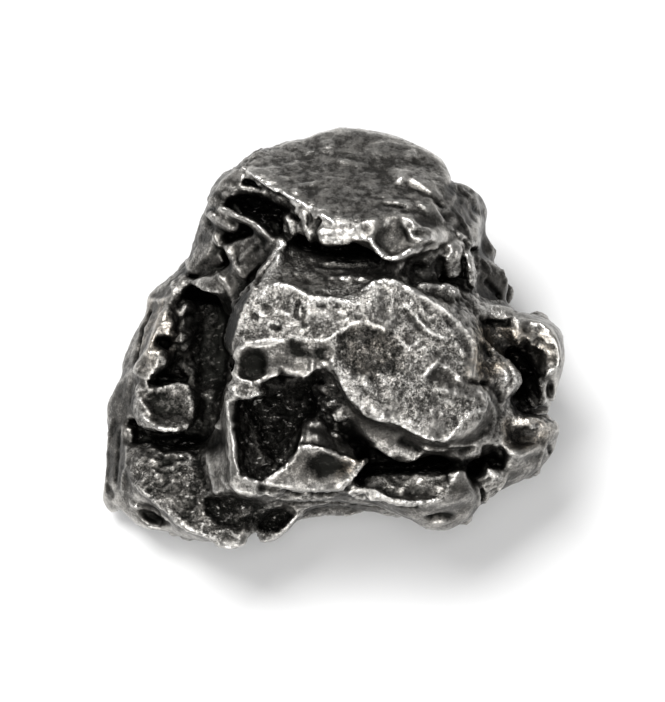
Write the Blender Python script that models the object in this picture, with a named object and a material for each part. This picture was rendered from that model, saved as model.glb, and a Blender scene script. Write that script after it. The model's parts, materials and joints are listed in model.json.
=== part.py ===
"""An iron meteorite, about 47 mm wide: one solid lump of blocky plates, ledges, caves and rounded rims.

Places are given in the sight frame, in millimetres: x to the right and y up across the plane through the
stone's middle, as seen looking down at its broad pitted face, and depth from that plane towards the eye.
"""

import math

import bmesh
import bpy
from mathutils import Matrix, Vector

MM = 0.001

# Driving dimensions, in millimetres and degrees.
SIGHT_ELEVATION = 70.0  # how steeply the eye looks down on the resting stone
SIGHT_RANGE = 350.0  # from the eye to the sight plane
SEAT_DROP = 17.5  # height of the sight plane's middle above the table
MIDDLE_X = 0.23  # sight-frame middle of the finished stone, which goes over the origin
MIDDLE_Y = 2.25

VOXEL = 0.5  # cell that the lumps are fused with
FINE_VOXEL = 0.42  # cell after the hollows are cut
MELT_ROUNDS = 3  # smoothing passes that round every rim
KEPT_SHARE = 0.082  # share of the triangles kept on the finished solid

SLOPE = math.radians(SIGHT_ELEVATION)
UP = Vector((0, math.sin(SLOPE), math.cos(SLOPE)))
TOWARDS = Vector((0, -math.cos(SLOPE), math.sin(SLOPE)))

IRON_COLOUR = (0.16, 0.155, 0.145, 1)
IRON_ROUGHNESS = 0.38


def sight(x, y, depth):
    """The world place of the point seen at x, y on the sight plane and lying at that depth."""
    shrink = (SIGHT_RANGE - depth) / SIGHT_RANGE
    across = Vector((1, 0, 0)) * (x * shrink - MIDDLE_X)
    place = across + UP * (y * shrink) + TOWARDS * depth + Vector((0, -MIDDLE_Y, SEAT_DROP))
    return place * MM


def outward(points, index):
    """Unit vector in the sight plane that points out of an outline at one of its points."""
    area = sum(
        points[i - 1][0] * points[i][1] - points[i][0] * points[i - 1][1] for i in range(len(points))
    )
    before, after = Vector(points[index - 1][:2]), Vector(points[(index + 1) % len(points)][:2])
    along = (after - before).normalized()
    side = Vector((along.y, -along.x))
    return side if area > 0 else -side


def lump(rim, back=-11.0, flare=0.5):
    """A closed lump: one face through the rim points, and walls that spread a little and run back."""
    shape = bmesh.new()
    front, rear = [], []
    for index, (x, y, depth) in enumerate(rim):
        out = outward(rim, index) * flare
        front.append(shape.verts.new(sight(x, y, depth)))
        rear.append(shape.verts.new(sight(x + out.x, y + out.y, min(back, depth - 1))))
    shape.faces.new(front)
    shape.faces.new(rear[::-1])
    for i in range(len(rim)):
        shape.faces.new((front[i - 1], rear[i - 1], rear[i], front[i]))
    bmesh.ops.triangulate(shape, faces=shape.faces[:])
    bmesh.ops.recalc_face_normals(shape, faces=shape.faces[:])
    return shape


def over_table(x, y, height):
    """The world place of a point given in millimetres from the stone's middle and up from the table."""
    return Vector((x, y, height)) * MM


def boulder(seen_corners, table_corners=()):
    """A closed lump that is the hull of its corners, given in the sight frame or over the table."""
    shape = bmesh.new()
    for corner in seen_corners:
        shape.verts.new(sight(*corner))
    for corner in table_corners:
        shape.verts.new(over_table(*corner))
    made = bmesh.ops.convex_hull(shape, input=shape.verts[:])
    inside = {item for item in made["geom_interior"] if isinstance(item, bmesh.types.BMVert)}
    bmesh.ops.delete(shape, geom=list(inside), context="VERTS")
    return shape


def ball(centre, radii, turn=0.0, middle=None):
    """An egg-shaped body: radii across, up and towards the eye, turned in the sight plane by turn degrees."""
    shape = bmesh.new()
    bmesh.ops.create_icosphere(shape, subdivisions=3, radius=1.0)
    sight_axes = Matrix((Vector((1, 0, 0)), UP, TOWARDS)).transposed().to_4x4()
    place = (
        Matrix.Translation(middle or sight(*centre))
        @ sight_axes
        @ Matrix.Rotation(math.radians(turn), 4, "Z")
        @ Matrix.Diagonal((*(r * MM for r in radii), 1))
    )
    shape.transform(place)
    return shape


def ridge(points, radius):
    """A rounded rim that follows the points; radius is its half thickness."""
    curve = bpy.data.curves.new("ridge_line", "CURVE")
    curve.dimensions = "3D"
    curve.bevel_depth = radius * MM
    curve.bevel_resolution = 2
    curve.resolution_u = 5
    curve.use_fill_caps = True
    line = curve.splines.new("NURBS")
    line.points.add(len(points) - 1)
    for knot, (x, y, depth) in zip(line.points, points):
        knot.co = (*sight(x, y, depth), 1)
    line.order_u = 3
    line.use_endpoint_u = True
    guide = bpy.data.objects.new("ridge_guide", curve)
    bpy.context.scene.collection.objects.link(guide)
    shape = bmesh.new()
    shape.from_mesh(guide.evaluated_get(bpy.context.evaluated_depsgraph_get()).to_mesh())
    bpy.data.objects.remove(guide)
    bmesh.ops.remove_doubles(shape, verts=shape.verts[:], dist=0.00001)
    bmesh.ops.recalc_face_normals(shape, faces=shape.faces[:])
    return shape


def core():
    """The mass behind the plates: overlapping boulders that give the sides and the underside their form."""
    heart = [
        (-7, 14, -7), (0, 19, -7), (8, 17, -7), (12, 9, -6), (15, 1, -6), (12, -11, -5), (0, -13.5, -3),
        (-8, -13.5, -4), (-12, -4, -8), (-10, 6, -8),
    ]
    seat = [
        (-11, -6, 1.2), (-12.5, 1, 0.4), (-8, 9, 1.0), (-2, 12, 0.4), (6, 12, 1.2), (11, 6, 0.5),
        (12, -1, 1.4), (8, -7, 0.4), (0, -8, 1.0),
    ]
    left = [
        (-15.5, 5, -8), (-18, 1, -9), (-19.5, -5, -9), (-20.5, -11, -8.5), (-19.5, -15, -8.5),
        (-14, -17, -5), (-8.5, -17.5, -3), (-6, -13, -3), (-8, 4, -6),
    ]
    left_belly = [
        (-19.5, -6, 4.5), (-19, -12, 3.5), (-12, -14, 3.4), (-17.5, 2, 4), (-12, 10, 4), (-8, -9, 1),
        (-14, -4, 1),
    ]
    right = [
        (15, 3, -5), (20, 2, -7), (22, 0, -8), (22, -5, -8.5), (21, -10, -7), (18, -12.5, -6),
        (13, -14, -5), (8, -14, -5), (10, 0, -6),
    ]
    right_belly = [
        (22, -3, 9), (21.5, 4, 8), (18, -9, 8), (13, -14, 8), (18, 6, 5), (17, -5, 3), (12, -9, 2),
        (13, 3, 1),
    ]
    top = [
        (-11, 14, -5), (-8, 18, -5), (-2, 20.5, -5), (4, 21, -6), (9, 19, -6), (13, 15, -8),
        (14.5, 11, -9), (10, 5, -7), (-8, 6, -7),
    ]
    top_belly = [
        (-12, 13, 9), (-9, 16.5, 12), (-3, 18.2, 11), (6, 18.6, 11), (13, 15.5, 11), (15.5, 11, 8),
        (-10, 13, 3), (-3, 16, 3.4), (6, 16, 3), (12, 12, 3.4), (-14.5, 9, 7),
    ]
    front_belly = [
        (-9, -16.5, 7), (-4, -15.5, 10), (3, -15, 10), (10, -16, 10), (14, -13, 7), (8, -12, 3.4),
        (-2, -12.5, 3), (-10, -12.5, 3.4), (-8, 0, 4), (10, 0, 4), (-11, -6, 1.2), (8, -7, 0.8),
        (0, -8, 1.0),
    ]
    return [
        boulder(heart, seat),
        boulder(left, left_belly),
        boulder(right, right_belly),
        boulder(top, top_belly),
        boulder([], front_belly),
    ]


def underside():
    """The blocks below, given over the table; the lowest of them are trimmed where the stone rests."""
    blocks = (
        [
            (-13, -8, 1.6), (-13.6, -1, -0.5), (-8, -9.5, -0.6), (-5, -4, -0.7), (-7, 1.5, -0.6),
            (-12, 2.5, 0.6), (-14.5, -4, 3), (-6, -8, 4), (-9, 3, 4),
        ],
        [
            (-11.5, 4, 0.4), (-9, 9.5, -0.6), (-3, 12.4, -0.7), (0, 8, -0.6), (-4, 4.5, -0.5),
            (-10.5, 10.5, 3), (-2.5, 14.4, 3), (1, 6, 4),
        ],
        [
            (2.5, 11.5, -0.5), (8, 12.6, -0.5), (11.6, 8, -0.7), (9.5, 3.6, -0.6), (4, 6, -0.6),
            (3, 13.6, 3), (10, 13.2, 3.6), (13.6, 6, 3.4),
        ],
        [
            (5, 2.4, -0.4), (12.6, 1.5, 0.2), (13.2, -4, -0.5), (9, -8.6, -0.6), (4, -7, -0.6),
            (2.6, -2, -0.6), (15, -3, 3.4), (9.6, -11, 3.2), (2, -8, 3),
        ],
        [
            (-4.6, -12.4, 0.9), (2.4, -11.6, 1.2), (4, -9.4, 0.6), (-5, -9, 0.7), (-6, -13.6, 3.2),
            (3.4, -13.2, 3.6),
        ],
        [
            (14.4, -7.6, 2.6), (19.4, -3.4, 3.0), (18.4, 2.6, 1.9), (13.4, -2, 1.2), (13.6, -8.8, 5.2),
            (21.4, -3, 6.4), (20.6, 3.4, 6.2),
        ],
        [
            (14, 5, 1.6), (18.4, 8.6, 2.6), (14.6, 13, 2.0), (11, 7, 1.2), (20.0, 8, 6.4), (14, 14.8, 6),
        ],
        [
            (-20.6, -13.6, 1.9), (-14.4, -16.4, 2.3), (-9.4, -14.8, 1.8), (-20.4, -8.6, 1.4),
            (-13, -8, 0.9), (-22.0, -12.4, 4), (-21.6, -7.8, 4), (-13.4, -17.4, 5), (-9, -16.2, 5),
        ],
        [
            (-18.4, -1.6, 1.8), (-15.4, 6.4, 1.4), (-12.4, 5, 1.0), (-14, -2, 1.2), (-19.6, -1, 4.6),
            (-15.6, 8.4, 4.8),
        ],
        [
            (-9.6, 13.4, 1.6), (-3.4, 15.4, 2.0), (-4, 11, 1.0), (-10, 10, 1.0), (-9.4, 15.4, 5),
            (-2.6, 17.2, 5),
        ],
    )
    return [boulder([], block) for block in blocks]


def far_side():
    """Plates, steps and rims on the sides that face away from the eye, given over the table."""
    high_plate = [
        (-10.4, 16.6, 19), (-5, 19.2, 20.4), (2, 19.6, 20.4), (3.4, 20.6, 14.6), (-2, 20.9, 12.6),
        (-6.6, 19.4, 11.6), (-11, 16.2, 13), (0, 14, 20), (0, 14, 13),
    ]
    high_block = [
        (3.2, 19.3, 18.4), (9.6, 17.8, 17.6), (10.4, 17.8, 12.0), (5.6, 20.2, 11.4), (3.6, 19.8, 13.0),
        (6, 13, 18), (6, 13, 12),
    ]
    low_plate = [
        (-3.4, 19.0, 10.2), (0.4, 20.2, 9.2), (4.4, 19.6, 8.2), (6.9, 18.4, 9.6), (5.6, 18.4, 5.0),
        (2.8, 17.6, 2.6), (-1.0, 18.2, 3.4), (-2.9, 18.4, 6.2), (2, 10, 9), (2, 10, 3),
    ]
    low_block = [
        (8.4, 18.2, 10.2), (11.8, 16.6, 9.4), (14.2, 13.4, 10.0), (14.0, 13.0, 6.4), (11.4, 14.2, 3.0),
        (8.2, 16.8, 3.8), (7.6, 17.6, 7.2), (8, 10, 9), (8, 10, 4),
    ]
    corner = [
        (-15.4, 10.5, 10.5), (-11.4, 15.2, 9.5), (-9.2, 16.2, 6.6), (-9.6, 14.6, 4.0), (-13.6, 11.0, 3.0),
        (-17.0, 6.5, 4.4), (-17.4, 7, 9.2), (-8, 8, 8), (-8, 8, 4),
    ]
    corner_step = [
        (-8.8, 17.4, 8.8), (-5.6, 18.8, 8.0), (-3.8, 18.0, 5.4), (-4.6, 16.2, 2.4), (-8.0, 15.4, 2.2),
        (-9.2, 16.2, 5.4), (-6, 9, 8), (-6, 9, 3),
    ]
    right_plate = [(21.8, 6, 12), (23.2, 0, 11), (22.8, -2, 7.5), (21, 5, 7), (15, 3, 12), (15, 0, 7)]
    right_step = [(19, -9.5, 9), (21.5, -5, 7.5), (20, 0, 3.6), (17, -7.5, 4), (14, -2, 8), (14, -2, 3.6)]
    right_corner = [
        (17.4, 11, 11.5), (14.5, 14.5, 11), (14, 13.5, 6.5), (17, 10.5, 7), (10, 8, 11), (10, 8, 6.5),
    ]
    left_plate = [
        (-22, -8, 6.4), (-20.5, -2, 6.2), (-19, -3, 2.6), (-20, -9.5, 2.6), (-14, -6, 6), (-14, -6, 2.6),
    ]
    left_back = [
        (-20, 2, 7.6), (-17.6, 6.5, 8.4), (-16.4, 5, 3.6), (-18.4, 1, 3.4), (-11, 3, 7), (-11, 3, 3.4),
    ]
    front_plate = [
        (-4, -17.4, 8.6), (3, -16.8, 8.2), (2, -15, 4.4), (-5, -15.4, 4.6), (0, -10, 8), (0, -10, 4.4),
    ]
    front_step = [
        (5, -17.2, 8.8), (12.5, -16.4, 8.4), (11.5, -14, 4), (5, -14.8, 4.2), (8, -9, 8), (8, -9, 4),
    ]
    plates = (
        high_plate, high_block, low_plate, low_block, corner, corner_step, right_plate, right_step,
        right_corner, left_plate, left_back, front_plate, front_step,
    )
    return [boulder([], plate) for plate in plates]


def crown():
    """The upper block: a flat top that tips away to the back, over a ragged front edge."""
    top = [
        (-8.7, 18.0, 1.6), (-7.5, 17.2, 3.0), (-6.0, 16.0, 4.4), (-4.5, 15.2, 5.2), (-3.0, 14.4, 6.0),
        (-1.2, 13.6, 6.5), (0.3, 12.9, 6.8), (2.0, 12.7, 7.0), (4.2, 12.8, 7.0), (6.5, 13.2, 6.5),
        (9.0, 13.8, 5.4), (10.7, 14.7, 3.8), (12.0, 15.8, 2.0), (12.3, 17.2, 0.0), (11.1, 19.0, -1.5),
        (9.0, 20.1, -2.0), (6.5, 21.2, -2.5), (4.0, 21.9, -2.8), (1.2, 22.2, -3.0), (-1.2, 21.6, -2.8),
        (-2.8, 20.9, -2.4), (-4.5, 20.6, -2.2), (-6.5, 20.0, -2.0), (-8.0, 19.3, -1.2),
        (-9.5, 18.3, -0.6),
    ]
    brow = [
        (-10.6, 17.2, -0.5), (-8.6, 17.4, 1.0), (-6.8, 16.2, 2.6), (-7.0, 15.7, 2.2), (-8.8, 15.8, 1.2),
        (-10.0, 15.2, 0.6), (-11.0, 14.4, 0.2), (-11.8, 14.6, -2.0), (-11.5, 16.0, -2.0),
    ]
    shoulder = [
        (8.0, 13.6, 5.8), (10.7, 14.6, 4.0), (12.0, 12.2, 3.4), (13.5, 11.0, 2.6), (14.5, 9.5, 1.6),
        (14.8, 7.5, 0.6), (14.2, 6.6, 0.2), (13.2, 8.8, 2.4), (11.8, 10.3, 4.2), (10.0, 10.0, 5.2),
        (8.5, 8.7, 5.8), (7.0, 8.2, 6.2), (5.8, 8.8, 6.4), (5.0, 11.5, 6.6),
    ]
    return [
        lump(top, back=-9, flare=-0.8),
        lump(brow, back=-7),
        lump(shoulder, back=-6, flare=-1.0),
        ball((-4.1, 12.3, 2.8), (0.75, 1.15, 1.4)),
        ball((-2.1, 12.3, 4.4), (1.0, 1.5, 1.6), turn=-10),
        ridge([(-0.9, 11.3, 5.6), (0.5, 11.4, 6.0), (2.6, 11.8, 6.0)], 0.85),
        ball((3.6, 11.7, 5.6), (1.3, 1.2, 1.6)),
        ball((6.2, 11.4, 5.0), (2.4, 2.0, 1.7)),
        ball((-0.6, 12.7, 5.2), (1.5, 1.2, 1.4)),
        ridge(
            [
                (4.1, 11.6, 6.6), (4.6, 10.3, 7.0), (5.5, 9.4, 7.2), (6.7, 9.2, 7.2), (8.0, 9.7, 6.8),
                (9.0, 10.4, 6.0),
            ],
            0.55,
        ),
        ridge([(7.0, 12.8, 6.6), (8.2, 12.9, 6.8), (9.2, 12.0, 6.3), (9.0, 11.2, 6.0)], 0.5),
        ridge([(9.4, 11.6, 5.8), (10.4, 11.8, 5.2), (11.2, 11.2, 4.6), (10.6, 10.4, 4.8)], 0.5),
        ridge([(7.0, 17.6, 1.4), (8.5, 17.3, 1.6), (10.0, 16.6, 1.8), (11.6, 15.6, 1.6)], 0.5),
    ]


def neck():
    """The sunk saddle between the crown and the main face, and the thin rib down its left side."""
    slope = [
        (-7.4, 6.2, 7.2), (-5.0, 6.6, 7.2), (-2.0, 5.6, 7.6), (1.5, 4.8, 8.0), (4.5, 5.8, 7.6),
        (7.2, 6.6, 7.0), (7.0, 7.8, 5.6), (4.0, 7.8, 5.2), (0.0, 7.6, 5.0), (-3.5, 8.2, 4.8),
        (-5.6, 8.6, 4.6),
    ]
    saddle = [
        (-6.2, 8.0, 4.4), (-3.5, 7.6, 5.0), (0.0, 7.2, 5.2), (4.0, 7.4, 5.2), (7.0, 7.4, 5.4),
        (6.2, 9.2, 3.2), (5.0, 10.2, 1.8), (1.0, 10.4, 1.6), (-3.0, 10.8, 2.0), (-4.6, 11.2, 2.6),
    ]
    return [
        lump(slope, back=-6, flare=0.2),
        lump(saddle, back=-6, flare=0.2),
        ridge(
            [(-4.9, 11.2, 4.2), (-5.2, 9.8, 4.6), (-6.2, 8.8, 5.0), (-7.0, 7.5, 5.8), (-7.5, 6.3, 6.8)],
            0.4,
        ),
    ]


def main_face():
    """The broad pitted face, its skirt, and the curled lip at its lower left."""
    face = [
        (-7.7, 6.0, 7.8), (-6.8, 6.7, 7.8), (-4.7, 6.9, 7.6), (-3.0, 6.3, 7.9), (-1.2, 5.4, 8.2),
        (1.5, 5.1, 8.4), (3.5, 5.4, 8.3), (4.3, 6.5, 8.0), (5.5, 7.0, 7.6), (7.2, 7.0, 7.4),
        (9.0, 6.2, 7.3), (11.0, 5.0, 7.2), (12.5, 3.8, 7.0), (13.8, 2.5, 6.8), (14.5, 1.0, 6.6),
        (14.7, -0.5, 6.5), (14.5, -2.2, 6.5), (15.0, -3.2, 6.4), (15.7, -4.2, 6.2), (15.7, -5.5, 6.2),
        (15.3, -6.8, 6.4), (14.0, -8.0, 6.8), (12.0, -9.0, 7.4), (10.0, -9.0, 7.8), (8.5, -8.2, 8.2),
        (7.0, -7.4, 8.4), (5.5, -7.0, 8.6), (4.0, -6.7, 8.7), (3.0, -5.7, 8.8), (2.0, -4.3, 8.9),
        (1.3, -3.0, 8.9), (0.6, -2.0, 8.9), (-0.8, -1.2, 8.8), (-2.0, -0.2, 8.7), (-3.7, 0.5, 8.6),
        (-6.0, 0.7, 8.3), (-8.0, 0.3, 8.0), (-9.3, -0.5, 7.6), (-9.8, 0.5, 7.3), (-9.4, 2.5, 7.4),
        (-8.7, 4.2, 7.6),
    ]
    skirt = [
        (1.3, -4.5, 5.6), (2.2, -7.0, 5.2), (2.8, -8.5, 4.8), (4.0, -9.5, 4.6), (5.3, -9.9, 4.4),
        (6.0, -10.8, 4.2), (7.0, -11.2, 4.0), (8.2, -11.3, 4.0), (9.2, -10.7, 4.2), (11.0, -10.6, 4.0),
        (12.2, -11.1, 3.6), (14.0, -11.1, 3.4), (15.5, -10.5, 3.2), (16.5, -9.3, 3.0), (17.1, -7.8, 2.8),
        (17.3, -6.0, 2.8), (17.0, -4.5, 3.0), (16.3, -3.0, 3.4), (15.4, -1.0, 4.2), (12.0, 2.0, 5.0),
        (4.0, 2.0, 6.0),
    ]
    lip = [
        (-9.3, -0.3, 7.6), (-8.0, 0.5, 8.0), (-6.0, 0.9, 8.3), (-4.0, 0.7, 8.5), (-2.7, -0.7, 8.3),
        (-1.4, -1.5, 8.2), (-1.5, -2.3, 7.9), (-2.8, -2.9, 7.8), (-4.3, -3.0, 7.7), (-5.5, -2.7, 7.8),
        (-6.8, -3.3, 7.8), (-6.8, -4.3, 7.6), (-8.2, -5.0, 7.4), (-9.3, -4.6, 7.2), (-10.0, -3.5, 7.2),
        (-10.2, -2.0, 7.2),
    ]
    return [
        lump(face, back=3.0, flare=0.9),
        lump(skirt, back=-8, flare=-0.6),
        lump(lip, back=5.2, flare=-0.5),
        boulder(
            [
                (-9.6, 0.5, 6.0), (-8.0, 5.5, 6.0), (-2.0, 4.5, 6.0), (2.0, -3.0, 6.0), (-3.0, -0.5, 6.0),
                (-9.2, 0.0, -6.0), (-8.4, 6.0, -6.0), (-2.0, 6.0, -6.0), (3.0, -4.0, -6.0),
                (-3.0, -1.0, -6.0),
            ],
        ),
        boulder(
            [
                (9.0, 5.6, 6.0), (14.0, 1.0, 5.0), (14.5, -3.0, 5.0), (4.0, -3.0, 6.0), (4.0, 5.0, 6.0),
                (9.0, 6.4, -6.0), (15.0, 1.5, -6.0), (15.0, -3.0, -6.0), (4.0, -3.0, -6.0),
                (4.0, 6.0, -6.0),
            ],
        ),
    ]


def hollow_and_tooth():
    """What lies round the deep hollow under the lip: its floor, left wall, bottom bar and smooth tooth."""
    floor = [
        (-10.0, -3.5, 0.5), (-6.0, -1.5, 0.0), (-1.0, -1.5, 1.0), (2.5, -4.0, 2.0), (3.5, -9.5, 1.5),
        (1.5, -12.5, 1.5), (-4.0, -13.0, 2.0), (-9.0, -13.2, 3.0), (-9.8, -8.0, 2.4),
    ]
    rubble = [
        (-1.7, -3.5, 4.0), (0.0, -2.6, 5.0), (1.4, -3.4, 5.4), (2.2, -6.0, 4.6), (2.8, -8.5, 3.6),
        (1.6, -9.0, 3.0), (0.2, -8.0, 3.4), (-0.4, -6.6, 3.4), (-1.2, -5.4, 3.4),
    ]
    wall = [
        (-10.2, -3.6, 6.6), (-9.4, -4.4, 6.6), (-9.5, -7.4, 6.2), (-9.0, -11.0, 6.0), (-8.6, -13.4, 6.0),
        (-9.4, -14.2, 5.6), (-10.0, -11.0, 5.4), (-10.4, -7.5, 5.6),
    ]
    tooth = [
        (-3.0, -9.8, 6.9), (-1.2, -9.6, 7.2), (0.5, -10.3, 7.3), (2.0, -10.9, 7.3), (3.7, -10.9, 7.3),
        (3.6, -11.7, 7.0), (2.7, -12.9, 6.5), (1.9, -13.8, 6.2), (0.5, -14.1, 6.0), (-3.0, -14.1, 6.0),
        (-6.0, -13.9, 6.0), (-8.2, -14.3, 6.0), (-9.2, -14.0, 6.0), (-9.2, -13.0, 6.2),
        (-8.0, -12.9, 6.3), (-6.8, -13.2, 6.3), (-5.2, -12.7, 6.4), (-4.0, -11.5, 6.6),
    ]
    arm = [
        (-3.0, -10.2, 6.6), (-2.9, -8.6, 6.2), (-2.2, -7.1, 6.0), (-1.2, -7.0, 6.0), (-1.0, -8.4, 6.2),
        (-0.9, -9.9, 6.9),
    ]
    keel = [
        (-9.4, -14.1, 5.0), (-3.0, -14.0, 5.0), (2.0, -13.7, 4.8), (5.5, -14.6, 3.0), (5.5, -15.8, -0.5),
        (3.5, -15.6, -1.0), (1.5, -15.3, -1.0), (0.0, -15.4, -1.0), (-2.4, -15.8, -1.0),
        (-6.0, -15.4, 0.0), (-9.0, -15.2, 1.0),
    ]
    return [
        lump(floor, back=-6, flare=0.2),
        lump(rubble, back=-6, flare=0.6),
        lump(wall, back=-6, flare=0.7),
        lump(tooth, back=3.6, flare=-0.7),
        lump(arm, back=0.0, flare=0.5),
        lump(keel, back=-5, flare=0.3),
        ridge(
            [
                (-10.1, -4.0, 6.8), (-10.1, -7.0, 6.4), (-9.9, -9.5, 6.2), (-9.6, -12.0, 6.2),
                (-9.3, -13.8, 6.2),
            ],
            0.42,
        ),
        ball((-0.6, -4.2, 4.6), (0.8, 0.6, 0.7)),
        ball((1.0, -6.4, 4.8), (0.9, 0.7, 0.8)),
    ]


def lower_ledge():
    """The ledge along the lower right, below the long crack, with its smooth hanging nose."""
    ledge = [
        (2.2, -13.6, 4.7), (3.2, -12.9, 3.4), (5.5, -12.5, 2.6), (8.0, -12.6, 2.6), (10.0, -12.8, 3.2),
        (11.5, -12.5, 4.2), (12.5, -11.8, 4.7), (13.3, -11.9, 4.7), (14.0, -12.8, 4.4),
        (14.7, -14.0, 3.6), (14.9, -15.2, 2.6), (13.8, -15.4, 3.6), (11.5, -15.5, 4.4), (9.5, -15.5, 4.7),
        (7.0, -15.4, 4.8), (5.5, -15.1, 4.7), (4.0, -14.4, 4.7),
    ]
    nose = [
        (5.5, -15.0, 4.4), (8.5, -15.3, 4.2), (12.0, -15.3, 4.0), (14.8, -15.0, 2.8), (5.5, -16.1, -1.0),
        (7.0, -16.7, 0.0), (8.5, -17.0, 0.2), (9.8, -17.8, 0.0), (11.0, -18.3, -0.4), (12.5, -18.0, -0.6),
        (13.8, -17.2, -0.8), (14.9, -16.0, -1.0), (7.0, -14.0, -8.0), (13.0, -14.5, -8.0),
        (10.5, -16.4, -6.0),
    ]
    chip = [
        (14.9, -11.7, 2.4), (16.4, -11.6, 2.4), (17.2, -12.6, 1.6), (16.7, -14.2, 0.0),
        (15.9, -15.0, -0.6), (15.4, -14.4, 0.6), (15.2, -13.0, 2.0),
    ]
    return [
        lump(ledge, back=-6, flare=0.0),
        boulder(nose),
        lump(chip, back=-5, flare=0.0),
        ridge(
            [
                (2.4, -13.8, 4.6), (4.0, -14.5, 4.7), (5.5, -15.1, 4.8), (8.0, -15.4, 4.8),
                (11.0, -15.4, 4.5), (13.6, -14.9, 4.0),
            ],
            0.42,
        ),
        ball((13.0, -12.6, 4.3), (0.8, 0.9, 0.7)),
    ]


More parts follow.
